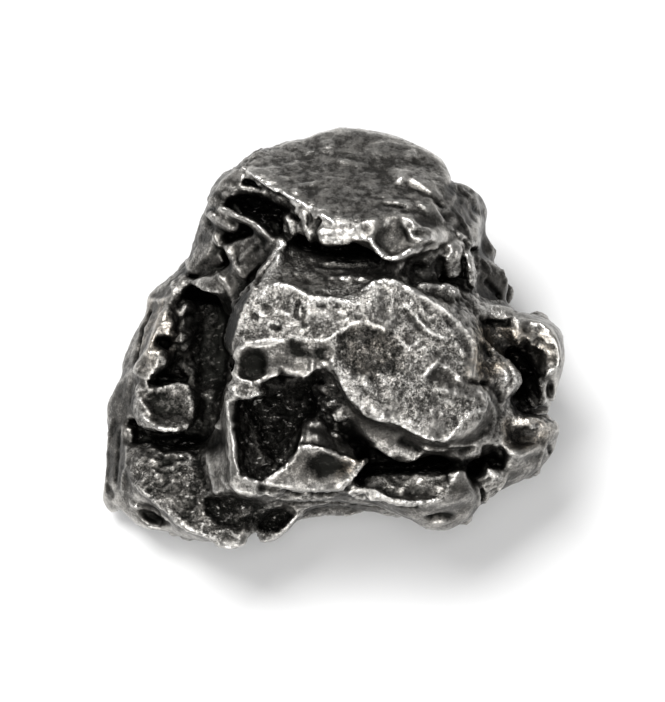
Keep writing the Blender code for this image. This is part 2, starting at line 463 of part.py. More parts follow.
def right_side():
    """The broken blocks down the right side, and the deep gap between them."""
    ramp = [
        (8.8, 6.4, 4.6), (11.0, 6.6, 3.2), (13.8, 6.0, 2.2), (15.2, 4.8, 1.4), (15.4, 3.2, 1.6),
        (15.2, 0.6, 3.0), (14.0, 2.0, 4.4), (12.4, 3.8, 4.8), (11.0, 5.0, 4.8),
    ]
    roof = [
        (14.6, 5.0, 1.0), (17.5, 4.4, 0.0), (19.0, 4.0, -0.4), (20.5, 3.3, -0.6), (22.0, 2.8, -1.0),
        (23.0, 2.0, -1.8), (23.4, 0.8, -2.4), (23.5, -0.2, -2.8), (22.6, -0.2, 0.0), (22.0, 1.2, 0.8),
        (20.8, 2.4, 1.0), (19.2, 3.0, 1.2), (17.8, 3.2, 1.2), (15.2, 3.6, 1.6),
    ]
    panel = [
        (15.2, 2.4, 1.0), (18.6, 2.4, 0.8), (20.5, 2.2, 0.6), (21.8, 0.8, 0.4), (21.0, -0.4, 0.0),
        (19.0, 0.4, 0.2), (16.6, 0.6, 0.6), (15.0, 1.2, 1.4),
    ]
    cheek = [
        (22.6, 0.4, -0.6), (23.4, 0.4, -2.6), (23.6, -0.4, -3.4), (23.2, -2.0, -4.0), (22.8, -3.6, -4.6),
        (22.3, -6.0, -5.0), (21.7, -6.6, -3.8), (21.9, -4.0, -3.0), (22.2, -2.0, -1.4),
    ]
    lobe_floor = [
        (19.9, 1.4, -0.8), (21.8, 1.6, -0.6), (22.9, 0.2, -1.2), (22.8, -1.6, -1.4), (21.6, -2.6, -1.2),
        (20.3, -2.0, -1.8), (19.7, -0.2, -2.0),
    ]
    knob = [
        (14.6, 0.2, 4.6), (16.4, 0.0, 3.6), (17.8, -1.0, 3.4), (18.5, -2.2, 3.2), (18.4, -3.6, 2.6),
        (17.6, -5.0, 2.2), (16.8, -7.0, 2.0), (15.4, -6.0, 3.0), (14.8, -2.0, 4.4),
    ]
    column = [
        (16.9, -5.0, 2.2), (18.0, -5.6, 1.8), (18.3, -7.0, 1.6), (18.0, -8.8, 1.4), (17.1, -9.2, 1.4),
        (16.8, -7.0, 1.8),
    ]
    low_brow = [
        (18.0, -6.3, 1.6), (19.6, -6.6, 1.8), (21.9, -7.0, 0.6), (22.7, -7.8, -0.8), (22.6, -8.6, -1.2),
        (21.5, -8.4, 0.4), (19.8, -8.2, 1.5), (18.4, -7.4, 1.8), (18.0, -6.4, -6.0), (22.2, -7.0, -6.0),
        (22.4, -8.6, -6.0), (19.0, -8.4, -6.0),
    ]
    low_scoop = [
        (17.6, -8.0, 0.4), (21.6, -8.0, -0.2), (22.0, -9.4, -0.6), (19.0, -10.4, 0.8), (17.4, -9.6, 0.8),
    ]
    low_facet = [
        (17.4, -9.9, 1.9), (19.0, -10.3, 1.8), (20.8, -9.6, 1.0), (21.7, -9.0, 0.2), (18.1, -11.6, 1.2),
        (17.6, -12.8, 0.4), (17.1, -14.1, -2.0), (19.5, -13.1, -2.6), (21.0, -12.0, -2.8),
        (22.2, -10.8, -2.8), (22.8, -9.5, -2.6), (22.9, -8.6, -2.4), (22.0, -8.6, -0.4),
        (17.5, -12.0, -7.0), (21.0, -10.0, -8.0), (22.0, -8.0, -8.0), (18.0, -8.0, -7.0),
    ]
    hump_high = [
        (11.6, 16.2, -5.0), (13.0, 16.7, -6.0), (14.0, 16.3, -6.2), (15.0, 15.5, -6.6),
        (15.7, 14.5, -7.0), (15.9, 13.7, -7.4), (15.5, 12.4, -7.4), (15.1, 10.0, -7.4),
        (14.0, 10.5, -4.6), (12.5, 12.5, -3.8),
    ]
    hump_low = [
        (14.4, 9.8, -4.6), (16.0, 9.0, -5.0), (17.2, 8.1, -5.4), (17.9, 7.2, -5.8), (18.0, 6.2, -6.4),
        (17.6, 4.8, -6.6), (16.0, 4.6, -3.4), (14.4, 6.2, -2.6),
    ]
    return [
        lump(ramp, back=-8, flare=0.3),
        lump(roof, back=-7, flare=0.0),
        lump(panel, back=-3, flare=0.0),
        lump(cheek, back=-8, flare=-0.2),
        lump(knob, back=-8, flare=0.3),
        lump(lobe_floor, back=-6, flare=0.2),
        lump(column, back=-6, flare=0.2),
        boulder(low_brow),
        lump(low_scoop, back=-6, flare=0.2),
        boulder(low_facet),
        lump(hump_high, back=-12, flare=0.0),
        lump(hump_low, back=-10, flare=0.0),
        lump([(11.6, 10.6, 2.6), (13.4, 10.0, 1.8), (13.4, 7.4, 1.2), (12.0, 6.9, 1.6)], back=-8),
        ridge([(18.6, 3.2, 1.4), (18.7, 1.8, 1.5), (18.4, 0.6, 1.2)], 0.4),
        ridge(
            [
                (20.8, 2.8, 0.9), (22.0, 2.0, 0.7), (22.8, 0.6, 0.2), (22.9, -1.0, 0.0),
                (22.4, -2.0, 0.0), (21.6, -2.5, 0.2), (20.6, -2.5, 0.4),
            ],
            0.6,
        ),
        ball((17.2, -2.3, 2.6), (1.5, 1.7, 1.5)),
        ridge(
            [(18.6, -2.2, 2.6), (19.3, -2.8, 2.4), (19.3, -3.7, 2.2), (18.8, -4.3, 2.0), (18.3, -4.3, 2.0)],
            0.4,
        ),
        ridge([(17.9, -6.4, 1.7), (19.2, -7.0, 1.9), (20.6, -7.2, 1.4), (21.8, -7.2, 0.6)], 0.5),
        ridge(
            [
                (17.0, -8.6, 1.9), (17.4, -9.5, 2.0), (17.9, -10.2, 2.0), (19.0, -10.4, 1.8),
                (20.0, -10.0, 1.5), (20.8, -9.6, 1.0),
            ],
            0.42,
        ),
        ball((22.3, -7.9, -1.4), (0.8, 1.0, 1.8)),
    ]


def upper_left():
    """The ragged ribs and holes left of the crown's front edge."""
    rib = [
        (-12.3, 13.8, -1.4), (-10.8, 14.3, 0.8), (-9.0, 13.6, 2.0), (-7.5, 12.9, 2.8), (-6.2, 11.9, 3.4),
        (-5.4, 11.0, 3.6), (-6.2, 10.9, 3.0), (-7.5, 12.0, 2.2), (-9.0, 12.3, 1.2), (-10.2, 12.0, 0.0),
        (-11.5, 12.8, -1.4),
    ]
    tongue = [
        (-10.5, 10.3, 0.2), (-9.0, 11.0, 1.6), (-7.2, 11.3, 2.5), (-5.6, 10.8, 3.2), (-6.2, 9.5, 2.6),
        (-6.8, 8.2, 2.0), (-8.2, 7.0, 1.0), (-9.0, 7.6, 0.6), (-9.7, 8.8, 0.3),
    ]
    skin = [
        (-12.7, 13.5, -4.8), (-11.8, 13.7, -2.2), (-10.8, 12.0, -1.6), (-10.7, 11.0, -1.6),
        (-11.7, 9.8, -2.0), (-13.0, 8.8, -3.4), (-14.2, 8.6, -6.0), (-13.4, 11.0, -6.4),
    ]
    shelf = [
        (-14.0, 6.7, -2.2), (-12.5, 8.0, -2.0), (-10.5, 8.2, -0.6), (-9.0, 7.4, 0.0), (-9.0, 6.2, -0.5),
        (-10.8, 5.6, -1.0), (-12.5, 5.9, -1.6),
    ]
    fang = [
        (-10.9, 5.9, -1.0), (-9.0, 6.0, -0.5), (-9.2, 4.7, -1.0), (-9.9, 3.2, -2.2), (-10.5, 4.2, -1.6),
    ]
    nub = [
        (-14.7, 8.2, -5.6), (-16.5, 6.6, -7.6), (-17.7, 6.0, -8.6), (-18.3, 5.1, -9.0),
        (-18.2, 4.2, -9.0), (-16.5, 4.3, -6.0), (-15.2, 5.5, -4.6), (-14.0, 6.8, -3.6),
    ]
    return [
        lump(rib, back=-1.0, flare=-0.2),
        lump(tongue, back=-6, flare=0.2),
        lump(skin, back=-9, flare=0.3),
        lump(shelf, back=-6, flare=-0.2),
        lump(fang, back=-6, flare=-0.1),
        lump(nub, back=-11, flare=0.3),
        ridge(
            [
                (-11.6, 14.0, -0.4), (-10.6, 14.1, 0.9), (-9.0, 13.4, 2.0), (-7.6, 12.7, 2.9),
                (-6.2, 11.8, 3.5),
            ],
            0.42,
        ),
        ridge([(-10.5, 10.2, 0.4), (-9.8, 8.9, 0.6), (-9.2, 7.8, 0.9), (-8.3, 7.1, 1.2)], 0.35),
        boulder(
            [
                (-12.0, 15.5, -4.0), (-9.5, 18.0, -2.0), (-5.5, 16.5, 0.0), (-5.0, 12.0, 0.0),
                (-9.0, 9.0, -2.5), (-12.3, 12.0, -4.0), (-12.0, 15.0, -12.0), (-5.0, 18.0, -12.0),
                (-5.0, 9.0, -12.0), (-13.0, 9.5, -12.0),
            ],
        ),
    ]


def left_flank():
    """The stepped plates down the left side."""
    band = [
        (-15.8, 5.2, -4.8), (-16.4, 3.0, -4.8), (-17.8, 0.5, -4.8), (-18.8, -2.0, -4.8),
        (-19.7, -3.0, -5.6), (-20.7, -2.2, -9.0), (-20.6, -1.0, -9.6), (-20.0, 0.6, -9.6),
        (-19.4, 1.9, -9.2), (-18.3, 3.6, -9.0),
    ]
    knuckle = [
        (-18.7, -1.5, -3.4), (-18.0, 0.0, -2.8), (-17.0, 0.0, -2.4), (-15.8, -0.6, -2.4),
        (-16.2, -1.6, -2.8), (-17.8, -2.6, -3.2), (-18.7, -3.0, -4.2),
    ]
    back_plate = [
        (-16.4, 4.4, -5.2), (-13.0, 4.8, -5.6), (-10.5, 4.0, -5.6), (-10.5, 0.0, -6.0),
        (-12.6, -1.0, -6.0), (-15.6, 0.4, -5.0), (-16.6, 2.0, -4.8),
    ]
    plate = [
        (-19.2, -3.6, -4.6), (-17.0, -3.6, -3.6), (-14.4, -3.3, -3.2), (-13.1, -4.6, -2.6),
        (-13.4, -7.5, -2.2), (-15.5, -8.1, -2.0), (-17.5, -8.2, -2.4), (-19.3, -8.0, -3.0),
        (-20.0, -5.5, -4.4),
    ]
    flank = [
        (-19.4, -3.0, -6.0), (-20.7, -2.6, -8.6), (-21.6, -3.8, -9.4), (-22.4, -4.8, -9.8),
        (-22.9, -6.0, -10.0), (-22.6, -6.9, -10.0), (-22.1, -8.0, -9.8), (-22.3, -10.0, -9.6),
        (-22.4, -12.0, -9.6), (-22.8, -14.0, -9.6), (-23.1, -15.2, -9.6), (-22.6, -16.2, -9.8),
        (-21.7, -16.9, -9.8), (-20.8, -16.6, -8.6), (-21.0, -14.8, -6.4), (-20.4, -12.0, -5.4),
        (-20.2, -9.0, -5.4), (-19.6, -6.0, -5.4),
    ]
    apron = [
        (-20.2, -9.7, -5.0), (-18.0, -9.4, -4.6), (-13.0, -9.8, -3.0), (-12.3, -12.0, -1.8),
        (-12.2, -15.0, -0.6), (-11.5, -18.8, 0.9), (-13.5, -18.2, 0.4), (-15.0, -17.3, 0.0),
        (-16.5, -15.8, -0.8), (-18.0, -14.5, -1.8), (-19.7, -13.3, -3.0), (-20.5, -11.5, -4.4),
    ]
    hem = [
        (-19.8, -13.5, -4.0), (-17.0, -15.7, -2.0), (-15.0, -17.6, -1.0), (-11.6, -19.0, 0.0),
        (-13.0, -19.3, -2.6), (-14.5, -19.0, -3.4), (-15.8, -18.3, -4.6), (-17.0, -18.1, -5.4),
        (-18.8, -17.9, -6.4), (-20.0, -17.2, -7.4), (-20.8, -16.4, -8.0), (-21.0, -14.7, -6.8),
    ]
    heel = [
        (-12.5, -14.8, -0.2), (-9.6, -14.4, 1.0), (-8.0, -15.4, 1.2), (-8.0, -17.5, 1.4),
        (-8.1, -18.8, 1.2), (-9.0, -19.6, 0.2), (-10.0, -20.1, -0.4), (-11.0, -19.8, -0.4),
        (-11.7, -19.2, 0.2),
    ]
    toe = [
        (-7.5, -15.2, 0.6), (-4.5, -14.8, 0.8), (-2.6, -15.8, 0.2), (-3.0, -17.0, -0.8),
        (-4.2, -18.3, -1.2), (-5.8, -19.4, -1.6), (-6.8, -19.2, -1.2), (-7.4, -18.5, -0.4),
    ]
    gully = [
        (-12.7, -9.8, -2.8), (-11.5, -8.0, -1.0), (-10.4, -6.5, 1.2), (-9.8, -10.0, 3.2),
        (-9.4, -14.0, 4.2), (-10.6, -14.6, 2.4), (-12.0, -14.5, 0.4), (-12.6, -12.5, -1.2),
    ]
    return [
        lump(band, back=-11, flare=0.3),
        lump(knuckle, back=-8, flare=0.1),
        lump(back_plate, back=-9, flare=0.2),
        lump(plate, back=-5.5, flare=-0.2),
        lump(plate, back=-9, flare=-1.2),
        lump(flank, back=-11.5, flare=-0.6),
        lump(apron, back=-8, flare=0.0),
        lump(hem, back=-9, flare=-0.8),
        lump(heel, back=-5, flare=-0.5),
        lump(toe, back=-5.5, flare=-0.5),
        lump(gully, back=-8, flare=0.3),
        ridge([(-18.5, -6.6, -2.8), (-17.4, -7.6, -2.0), (-15.5, -7.9, -1.6), (-13.9, -7.5, -1.6)], 0.5),
        ridge(
            [
                (-19.8, -13.3, -3.0), (-18.0, -14.6, -1.6), (-16.4, -15.8, -0.8), (-15.0, -17.3, 0.2),
                (-13.4, -18.2, 0.6), (-11.5, -18.8, 1.0),
            ],
            0.42,
        ),
        ridge(
            [
                (-16.3, 4.2, -4.2), (-17.2, 2.5, -4.2), (-17.8, 0.5, -4.3), (-18.7, -0.8, -4.6),
                (-19.6, -2.2, -5.0),
            ],
            0.6,
        ),
        ridge([(-15.0, 1.5, -4.0), (-14.8, 0.7, -3.6), (-14.9, -0.2, -3.5)], 0.45),
        ridge([(-19.4, -3.5, -4.4), (-19.2, -4.8, -4.0), (-18.5, -5.8, -3.4), (-18.0, -6.6, -3.0)], 0.4),
        ball((-16.3, 2.4, -4.0), (0.9, 0.8, 0.9)),
        ball((-11.4, -7.7, -0.6), (0.65, 0.7, 0.7)),
        ball((-9.9, -19.2, 0.4), (1.4, 0.9, 0.9)),
    ]


def hollows():
    """The bodies that are cut away: scoops, pits and undercuts."""
    return [
        ball((-7.9, -1.9, 8.6), (1.9, 1.5, 1.5), turn=10),
        ball((-5.3, -1.2, 8.9), (2.2, 1.0, 1.2)),
        ball((-3.2, -1.9, 8.9), (1.4, 0.8, 1.3), turn=-8),
        ball((-0.6, -11.9, 8.0), (2.7, 1.2, 1.9), turn=-4),
        ball((-3.6, 0.0, 9.4), (0.8, 0.6, 1.2)),
        ball((-5.0, -5.6, 4.4), (4.2, 2.6, 3.0), turn=-12),
        ball((-7.2, 15.0, 0.0), (3.6, 1.6, 4.2), turn=-28),
        ball((-8.8, 11.9, 0.4), (1.9, 0.8, 3.0), turn=-10),
        ball((1.5, 10.9, 2.4), (5.4, 1.0, 3.2)),
        ball((11.0, -16.6, 1.8), (1.5, 0.5, 1.2), turn=4),
        ball((-18.0, -16.6, -4.0), (2.1, 1.0, 2.6), turn=-32),
        ball((-5.6, -17.0, 0.8), (2.4, 1.1, 2.6), turn=30),
        ball((-7.6, -18.8, 0.4), (0.45, 1.1, 2.0)),
        ball((19.9, -4.4, -1.6), (1.7, 2.0, 3.6)),
        ball((18.7, -0.9, 0.4), (1.5, 0.9, 3.4), turn=-20),
        ball((20.0, -2.9, -1.0), (1.1, 1.4, 3.4)),
        ball((16.6, 2.9, 1.4), (1.8, 0.35, 2.0)),
        ball((19.6, -8.9, 1.4), (1.7, 0.6, 1.8), turn=14),
        ball((22.2, -10.0, -0.8), (0.5, 0.9, 1.4)),
        ball((9.6, 7.9, 2.0), (1.7, 0.8, 2.6), turn=-14),
    ]


def thumbprints():
    """Shallow hollows in the sides and below: a middle over the table, and radii across, up and deep."""
    prints = [
        ((-6.0, 23.2, 16.4), (3.6, 2.6, 4.6)),
        ((0.6, 24.0, 16.0), (2.6, 3.4, 4.4)),
        ((7.6, 21.6, 15.0), (2.4, 2.8, 3.6)),
        ((1.0, 22.6, 5.8), (3.4, 1.8, 3.8)),
        ((10.8, 19.8, 6.2), (2.2, 2.6, 4.6)),
        ((-6.4, 19.8, 4.6), (2.0, 1.8, 3.2)),
        ((-14.6, 14.4, 7.0), (3.0, 1.8, 3.4)),
        ((-20.6, 7.0, 5.6), (3.2, 3.0, 2.0)),
        ((-23.4, -5.0, 3.8), (2.2, 3.6, 1.6)),
        ((20.4, 8.0, 6.0), (2.6, 3.6, 3.0)),
        ((25.2, 2.6, 9.4), (2.6, 2.4, 2.0)),
        ((22.4, -7.2, 5.4), (2.8, 2.2, 2.2)),
        ((16.4, -13.6, 4.8), (2.6, 2.4, 2.0)),
        ((-0.8, -18.6, 6.4), (2.8, 2.0, 1.7)),
        ((8.6, -18.2, 5.8), (3.0, 1.8, 1.6)),
        ((-15.4, -14.8, 0.6), (3.2, 2.4, 2.0)),
        ((19.6, 13.0, 9.6), (2.4, 2.0, 2.0)),
        ((-8.6, -15.6, 3.4), (2.6, 2.0, 2.0)),
        ((0.4, 1.6, -1.4), (3.8, 2.6, 2.4)),
        ((-4.0, -10.6, 0.2), (2.0, 1.4, 1.2)),
        ((15.0, 2.6, 0.4), (2.4, 2.8, 1.8)),
        ((-15.6, 3.6, 0.8), (1.8, 2.6, 1.4)),
        ((6.6, 15.4, 1.0), (2.8, 1.8, 1.6)),
    ]
    return [ball(None, radii, middle=over_table(*centre)) for centre, radii in prints]


def slab_below_table():
    """The block that trims the underside flat where the stone rests."""
    shape = bmesh.new()
    bmesh.ops.create_cube(shape, size=1.0)
    wide, deep = 80 * MM, 20 * MM
    shape.transform(Matrix.Translation((0, 0, -deep / 2)) @ Matrix.Diagonal((wide, wide, deep, 1)))
    return shape


def joined(name, shapes):
    """One object that holds all the shapes."""
    mesh = bpy.data.meshes.new(name)
    whole = bmesh.new()
    for shape in shapes:
        shape.to_mesh(mesh)
        whole.from_mesh(mesh)
        shape.free()
    whole.to_mesh(mesh)
    whole.free()
    made = bpy.data.objects.new(name, mesh)
    bpy.context.scene.collection.objects.link(made)
    return made


def fuse(stone, name, cell):
    """Fuses what overlaps into one skin of even cells."""
    skin = stone.modifiers.new(name, "REMESH")
    skin.mode = "VOXEL"
    skin.voxel_size = cell * MM
    return skin


def melt(stone, name, rounds, factor=0.5):
    """Rounds every rim and corner, as flight through the air did."""
    soft = stone.modifiers.new(name, "SMOOTH")
    soft.factor = factor
    soft.iterations = rounds
    return soft


def weather(stone, name, size, height, depth=2):
    """Pushes the skin in and out by a cloudy relief of that size and height, in millimetres."""
    relief = bpy.data.textures.new(name, "CLOUDS")
    relief.noise_scale = size * MM
    relief.noise_depth = depth
    push = stone.modifiers.new(name, "DISPLACE")
    push.texture = relief
    push.texture_coords = "LOCAL"
    push.strength = height * MM
    push.mid_level = 0.5
    return push


def iron():
    """Dark bare iron with brushed high places."""
    material = bpy.data.materials.new("iron")
    material.use_nodes = True
    surface = material.node_tree.nodes["Principled BSDF"]
    surface.inputs["Base Color"].default_value = IRON_COLOUR
    surface.inputs["Metallic"].default_value = 1.0
    surface.inputs["Roughness"].default_value = IRON_ROUGHNESS
    return material


def main():
    for old in list(bpy.data.objects):
        bpy.data.objects.remove(old)

    regions = (
        core, underside, far_side, crown, neck, main_face,
        hollow_and_tooth, lower_ledge, right_side, upper_left, left_flank,
    )
    stone = joined("meteorite", [shape for region in regions for shape in region()])
    stone.data.materials.append(iron())

    cutters = joined("hollow_cutters", hollows() + thumbprints())
    cutters.hide_render = True
    cutters.display_type = "WIRE"

    fuse(stone, "fuse_lumps", VOXEL)
    cut = stone.modifiers.new("cut_hollows", "BOOLEAN")
    cut.operation = "DIFFERENCE"
    cut.object = cutters
    cut.use_self = True
    fuse(stone, "even_skin", FINE_VOXEL)
    melt(stone, "melt_rims", MELT_ROUNDS)
    weather(stone, "broad_waves", 5.0, 0.6)
    weather(stone, "small_waves", 1.6, 0.35)

    thin = stone.modifiers.new("fewer_faces", "DECIMATE")
    thin.ratio = KEPT_SHARE

    table = joined("table_cutter", [slab_below_table()])
    table.hide_render = True
    table.display_type = "WIRE"
    rest = stone.modifiers.new("flat_seat", "BOOLEAN")
    rest.operation = "DIFFERENCE"
    rest.object = table


if __name__ == "__main__":
    main()
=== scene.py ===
"""The looks of an iron meteorite: its rims, pits, grain and metal, on a pale table under soft light.

The stone is worked up from the solid: its plain faces are cut to shape, then marks are worked into it
one by one. A mark is placed by the pixels of the photograph that it shows at, and lies on the stone
wherever the eye at the camera's place sees it there. While it is worked, the stone is in millimetres.
Each mark's numbers stand with it: its height and width, or an outline's height and softness, then its
pixels, as x and y from the photograph's upper left corner, and its painted light: a painted highlight
where the value is above nought, painted shade where it is below.
"""

import json
import math

import bpy
import numpy as np
from mathutils import Matrix, Vector, noise
from mathutils.bvhtree import BVHTree

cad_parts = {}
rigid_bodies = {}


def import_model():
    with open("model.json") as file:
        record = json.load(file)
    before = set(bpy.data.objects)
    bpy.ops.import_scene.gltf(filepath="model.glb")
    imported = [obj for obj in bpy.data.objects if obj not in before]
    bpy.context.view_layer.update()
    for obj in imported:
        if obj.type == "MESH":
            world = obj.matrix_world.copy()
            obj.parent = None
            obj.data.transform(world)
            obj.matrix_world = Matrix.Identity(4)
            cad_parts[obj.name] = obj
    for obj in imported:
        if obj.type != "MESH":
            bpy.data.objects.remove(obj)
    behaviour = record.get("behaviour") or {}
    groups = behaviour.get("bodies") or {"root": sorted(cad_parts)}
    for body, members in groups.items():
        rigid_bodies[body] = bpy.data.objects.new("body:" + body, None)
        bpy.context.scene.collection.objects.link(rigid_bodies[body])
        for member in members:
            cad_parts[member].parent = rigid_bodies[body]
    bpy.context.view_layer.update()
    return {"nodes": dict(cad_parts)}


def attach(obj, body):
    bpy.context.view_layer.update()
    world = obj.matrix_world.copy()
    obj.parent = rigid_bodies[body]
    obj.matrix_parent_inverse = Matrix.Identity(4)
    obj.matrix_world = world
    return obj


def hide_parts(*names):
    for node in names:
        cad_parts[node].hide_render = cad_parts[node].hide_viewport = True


MM = 0.001

# How the stone is seen, in millimetres and degrees.
SIGHT_ELEVATION = 70.0
SIGHT_RANGE = 350.0  # from the eye to the sight plane
SEAT_DROP = 17.5  # height of the sight plane's middle above the table
MIDDLE_X = 0.23  # sight-frame middle of the stone, which is over the origin
MIDDLE_Y = 2.25
PIXEL = 0.1  # width on the sight plane of one pixel of the photograph
MIDDLE_PIXEL = (330, 350)  # pixel that shows the sight plane's middle
PICTURE = (665, 702)
SENSOR = 36.0

# The working mesh, in millimetres.
FORM_CELL = 0.34
CARVING_CELL = 0.15
WELD = 0.001
FORM_MELT = 3  # rounds of smoothing
FACET_MELT = 3
FACET_PASSES = 2  # the second moves the skin that the first laid bare
RAGGED = 0.22  # how far the outlines wander
RAGGED_SIZE = 0.8
MOST_TRIANGLES = 196000
HIDDEN_THINNING = 0.4  # how much sooner the side away from the eye loses its triangles
SEEN_THINNING = 0.1  # share of the thinning that the seen side takes; at 0 none of it would be thinned
SEAT_CLEAR = 0.5  # the hollows of the hidden sides start this high, and are whole SEAT_EASE higher
SEAT_EASE = 2.0
WALL_KEPT = 1.5  # a wall thinner than this gets no such hollow, and one WALL_EASE thicker a whole one
WALL_EASE = 3.0
SEAT_SNAP = 0.12  # the lowest skin goes flat onto the table
HALF = 0.5  # how far one round of smoothing moves a vertex towards its neighbours' middle
HIDDEN_MELT = 30
UNSEEN_ROUNDS, UNSEEN_SLOPE = 30, 1.6  # how wide and how steep the change to the hidden sides' skin is
WALL_ROUNDS = 10
THINNING_ROUNDS = 4

# The relief of the skin: the size of its features and how far it goes in and out, in millimetres.
LUMPS = (1.9, 0.9)
RIDGES = (0.9, 0.28)
PITTING = (0.50, 0.26)
GRAIN = (0.24, 0.10)
PITTING_EVERYWHERE = 0.25  # share of the pitting that smooth skin has too
HIDDEN_SWELLS = (7.0, 2.0, 0.60)  # the third is the texture's level that stays where it is
HIDDEN_HOLLOWS = (5.5, 2.4, 0.5)

# What the finish reads from the skin.
OPEN_RAYS = 16
OPEN_REACH = 9.0
OPEN_ROUNDS = 2
ZONE_ROUNDS = 3  # how the zones and the painted light and shade run into each other
PAINTED_LIGHT_ROUNDS = 1
FINE_ROUNDS, FINE_RISE, FINE_SHARE = 4, 0.04, 0.15
BROAD_ROUNDS, BROAD_RISE, BROAD_SHARE = 40, 0.15, 0.30
RUST = (1.0, 0.86, 0.70, 1)  # what the brown specks leave of the metal's light
IRON = (
    (0.0, (0.004, 0.004, 0.003)), (0.35, (0.080, 0.076, 0.070)),
    (0.65, (0.38, 0.37, 0.35)), (1.0, (0.88, 0.87, 0.85)),
)

# Noises of the finish: size in metres, detail, roughness and, where one is drawn out, its stretch.
SPECK = 0.00024, 6.0, 0.72
BLOTCH = 0.0016, 5.0, 0.65
DRAWN = 0.0010, 4.0, 0.60, (0.35, 1.0, 1.0)
BUSY_AREA = 0.0030, 3.0, 0.6
WORM = 0.0007, 3.0, 0.6
PAINTED_GLINT = 0.00050, 4.0, 0.6, (0.55, 1.0, 1.0)
FINE_RELIEF = 0.00014, 3.0, 0.65
COARSE_RELIEF = 0.0005, 3.0, 0.6
MEAN = 0.5  # of a noise

# How much each of them counts in the light of the metal, and where those that come in places set in.
DULL, WEAR_AND_SHADE_LIGHT, PAINTED_LIGHT_SHARE = 0.40, 0.60, 0.45
SPECK_EVERYWHERE, SPECK_LIGHT, BLOTCH_LIGHT, DRAWN_LIGHT, WORM_LIGHT = 0.25, 2.2, 0.7, 0.7, 0.30
BUSY_FROM, BUSY_SLOPE = 0.34, 3.2
PAINTED_GLINT_FROM, PAINTED_GLINT_SLOPE = 0.58, 9
WORM_THINNESS = 15
OPEN_GAIN, OPEN_POWER = 1.15, 1.5  # how the light falls off into the hollows
PAINTED_GLINT_DEEP, PAINTED_GLINT_BARE = 1.1, 0.8
RUST_SHARE, RUST_BLOTCH, RUST_SPECK = 0.4, 3.0, 2.0
METALLIC = 0.9
ROUGHEST, POLISH = 0.52, 0.28
BUMP_STRENGTH, BUMP_DISTANCE = 0.8, 0.00010
BUMP_FINE, BUMP_COARSE, BUMP_GRAIN, BUMP_DRAWN = 0.12, 0.15, 0.6, 1.5

# The studio, in metres and watts: each light's place, its width and its power.
KEY = (-0.15, 0.13, 0.45), 0.26, 2.7
FILL = (0.02, -0.20, 0.52), 0.25, 0.9
FRONT = (-0.08, -0.42, 0.16), 0.20, 1.3
LIGHTS_AIM = Vector((0, 0, 0.012))
ROOM_LIGHT = 0.18
TABLE_SIZE = 6
TABLE_COLOUR = (0.86, 0.86, 0.86, 1)
TABLE_ROUGHNESS = 0.8
NEAREST_SEEN = 0.01  # where the camera's sight starts

SLOPE = math.radians(SIGHT_ELEVATION)
UP = Vector((0, math.sin(SLOPE), math.cos(SLOPE)))
TOWARDS = Vector((0, -math.cos(SLOPE), math.sin(SLOPE)))
SIGHT_MIDDLE = Vector((-MIDDLE_X, -MIDDLE_Y, SEAT_DROP))


def sight(x, y, depth):
    """The place in millimetres of the point seen at x, y on the sight plane and lying at that depth."""
    shrink = (SIGHT_RANGE - depth) / SIGHT_RANGE
    return Vector((x * shrink, 0, 0)) + UP * (y * shrink) + TOWARDS * depth + SIGHT_MIDDLE


def at_pixel(pixel):
    """Sight-plane x and y, in millimetres, of a pixel of the photograph."""
    return (pixel[0] - MIDDLE_PIXEL[0]) * PIXEL, (MIDDLE_PIXEL[1] - pixel[1]) * PIXEL


EYE = SIGHT_MIDDLE + TOWARDS * SIGHT_RANGE


def only(piece):
    """Makes a piece the one selected and active object."""
    bpy.ops.object.select_all(action="DESELECT")
    piece.select_set(True)
    bpy.context.view_layer.objects.active = piece


def apply(piece, kind, **settings):
    """Adds a modifier to a piece and applies it."""
    only(piece)
    modifier = piece.modifiers.new(kind.lower(), kind)
    for name, value in settings.items():
        setattr(modifier, name, value)
    bpy.ops.object.modifier_apply(modifier=modifier.name)


def fuse(piece, cell):
    """Gives the piece one even skin again."""
    apply(piece, "REMESH", mode="VOXEL", voxel_size=cell, use_smooth_shade=True)


def stone_copy():
    """A closed copy of the solid, in millimetres."""
    solid = frame["nodes"]["meteorite"]
    piece = bpy.data.objects.new("iron_stone", solid.data.copy())
    bpy.context.scene.collection.objects.link(piece)
    piece.data.transform(Matrix.Scale(1 / MM, 4))
    only(piece)
    bpy.ops.object.mode_set(mode="EDIT")
    bpy.ops.mesh.select_all(action="SELECT")
    bpy.ops.mesh.remove_doubles(threshold=WELD)
    bpy.ops.object.mode_set(mode="OBJECT")
    return piece


def arrays(mesh):
    """Places, normals and edge ends of a mesh, as numpy arrays."""
    places = np.empty(len(mesh.vertices) * 3, np.float32)
    mesh.vertices.foreach_get("co", places)
    normals = np.empty(len(mesh.vertices) * 3, np.float32)
    mesh.vertices.foreach_get("normal", normals)
    ends = np.empty(len(mesh.edges) * 2, np.int32)
    mesh.edges.foreach_get("vertices", ends)
    return places.reshape(-1, 3).astype(float), normals.reshape(-1, 3).astype(float), ends.reshape(-1, 2)


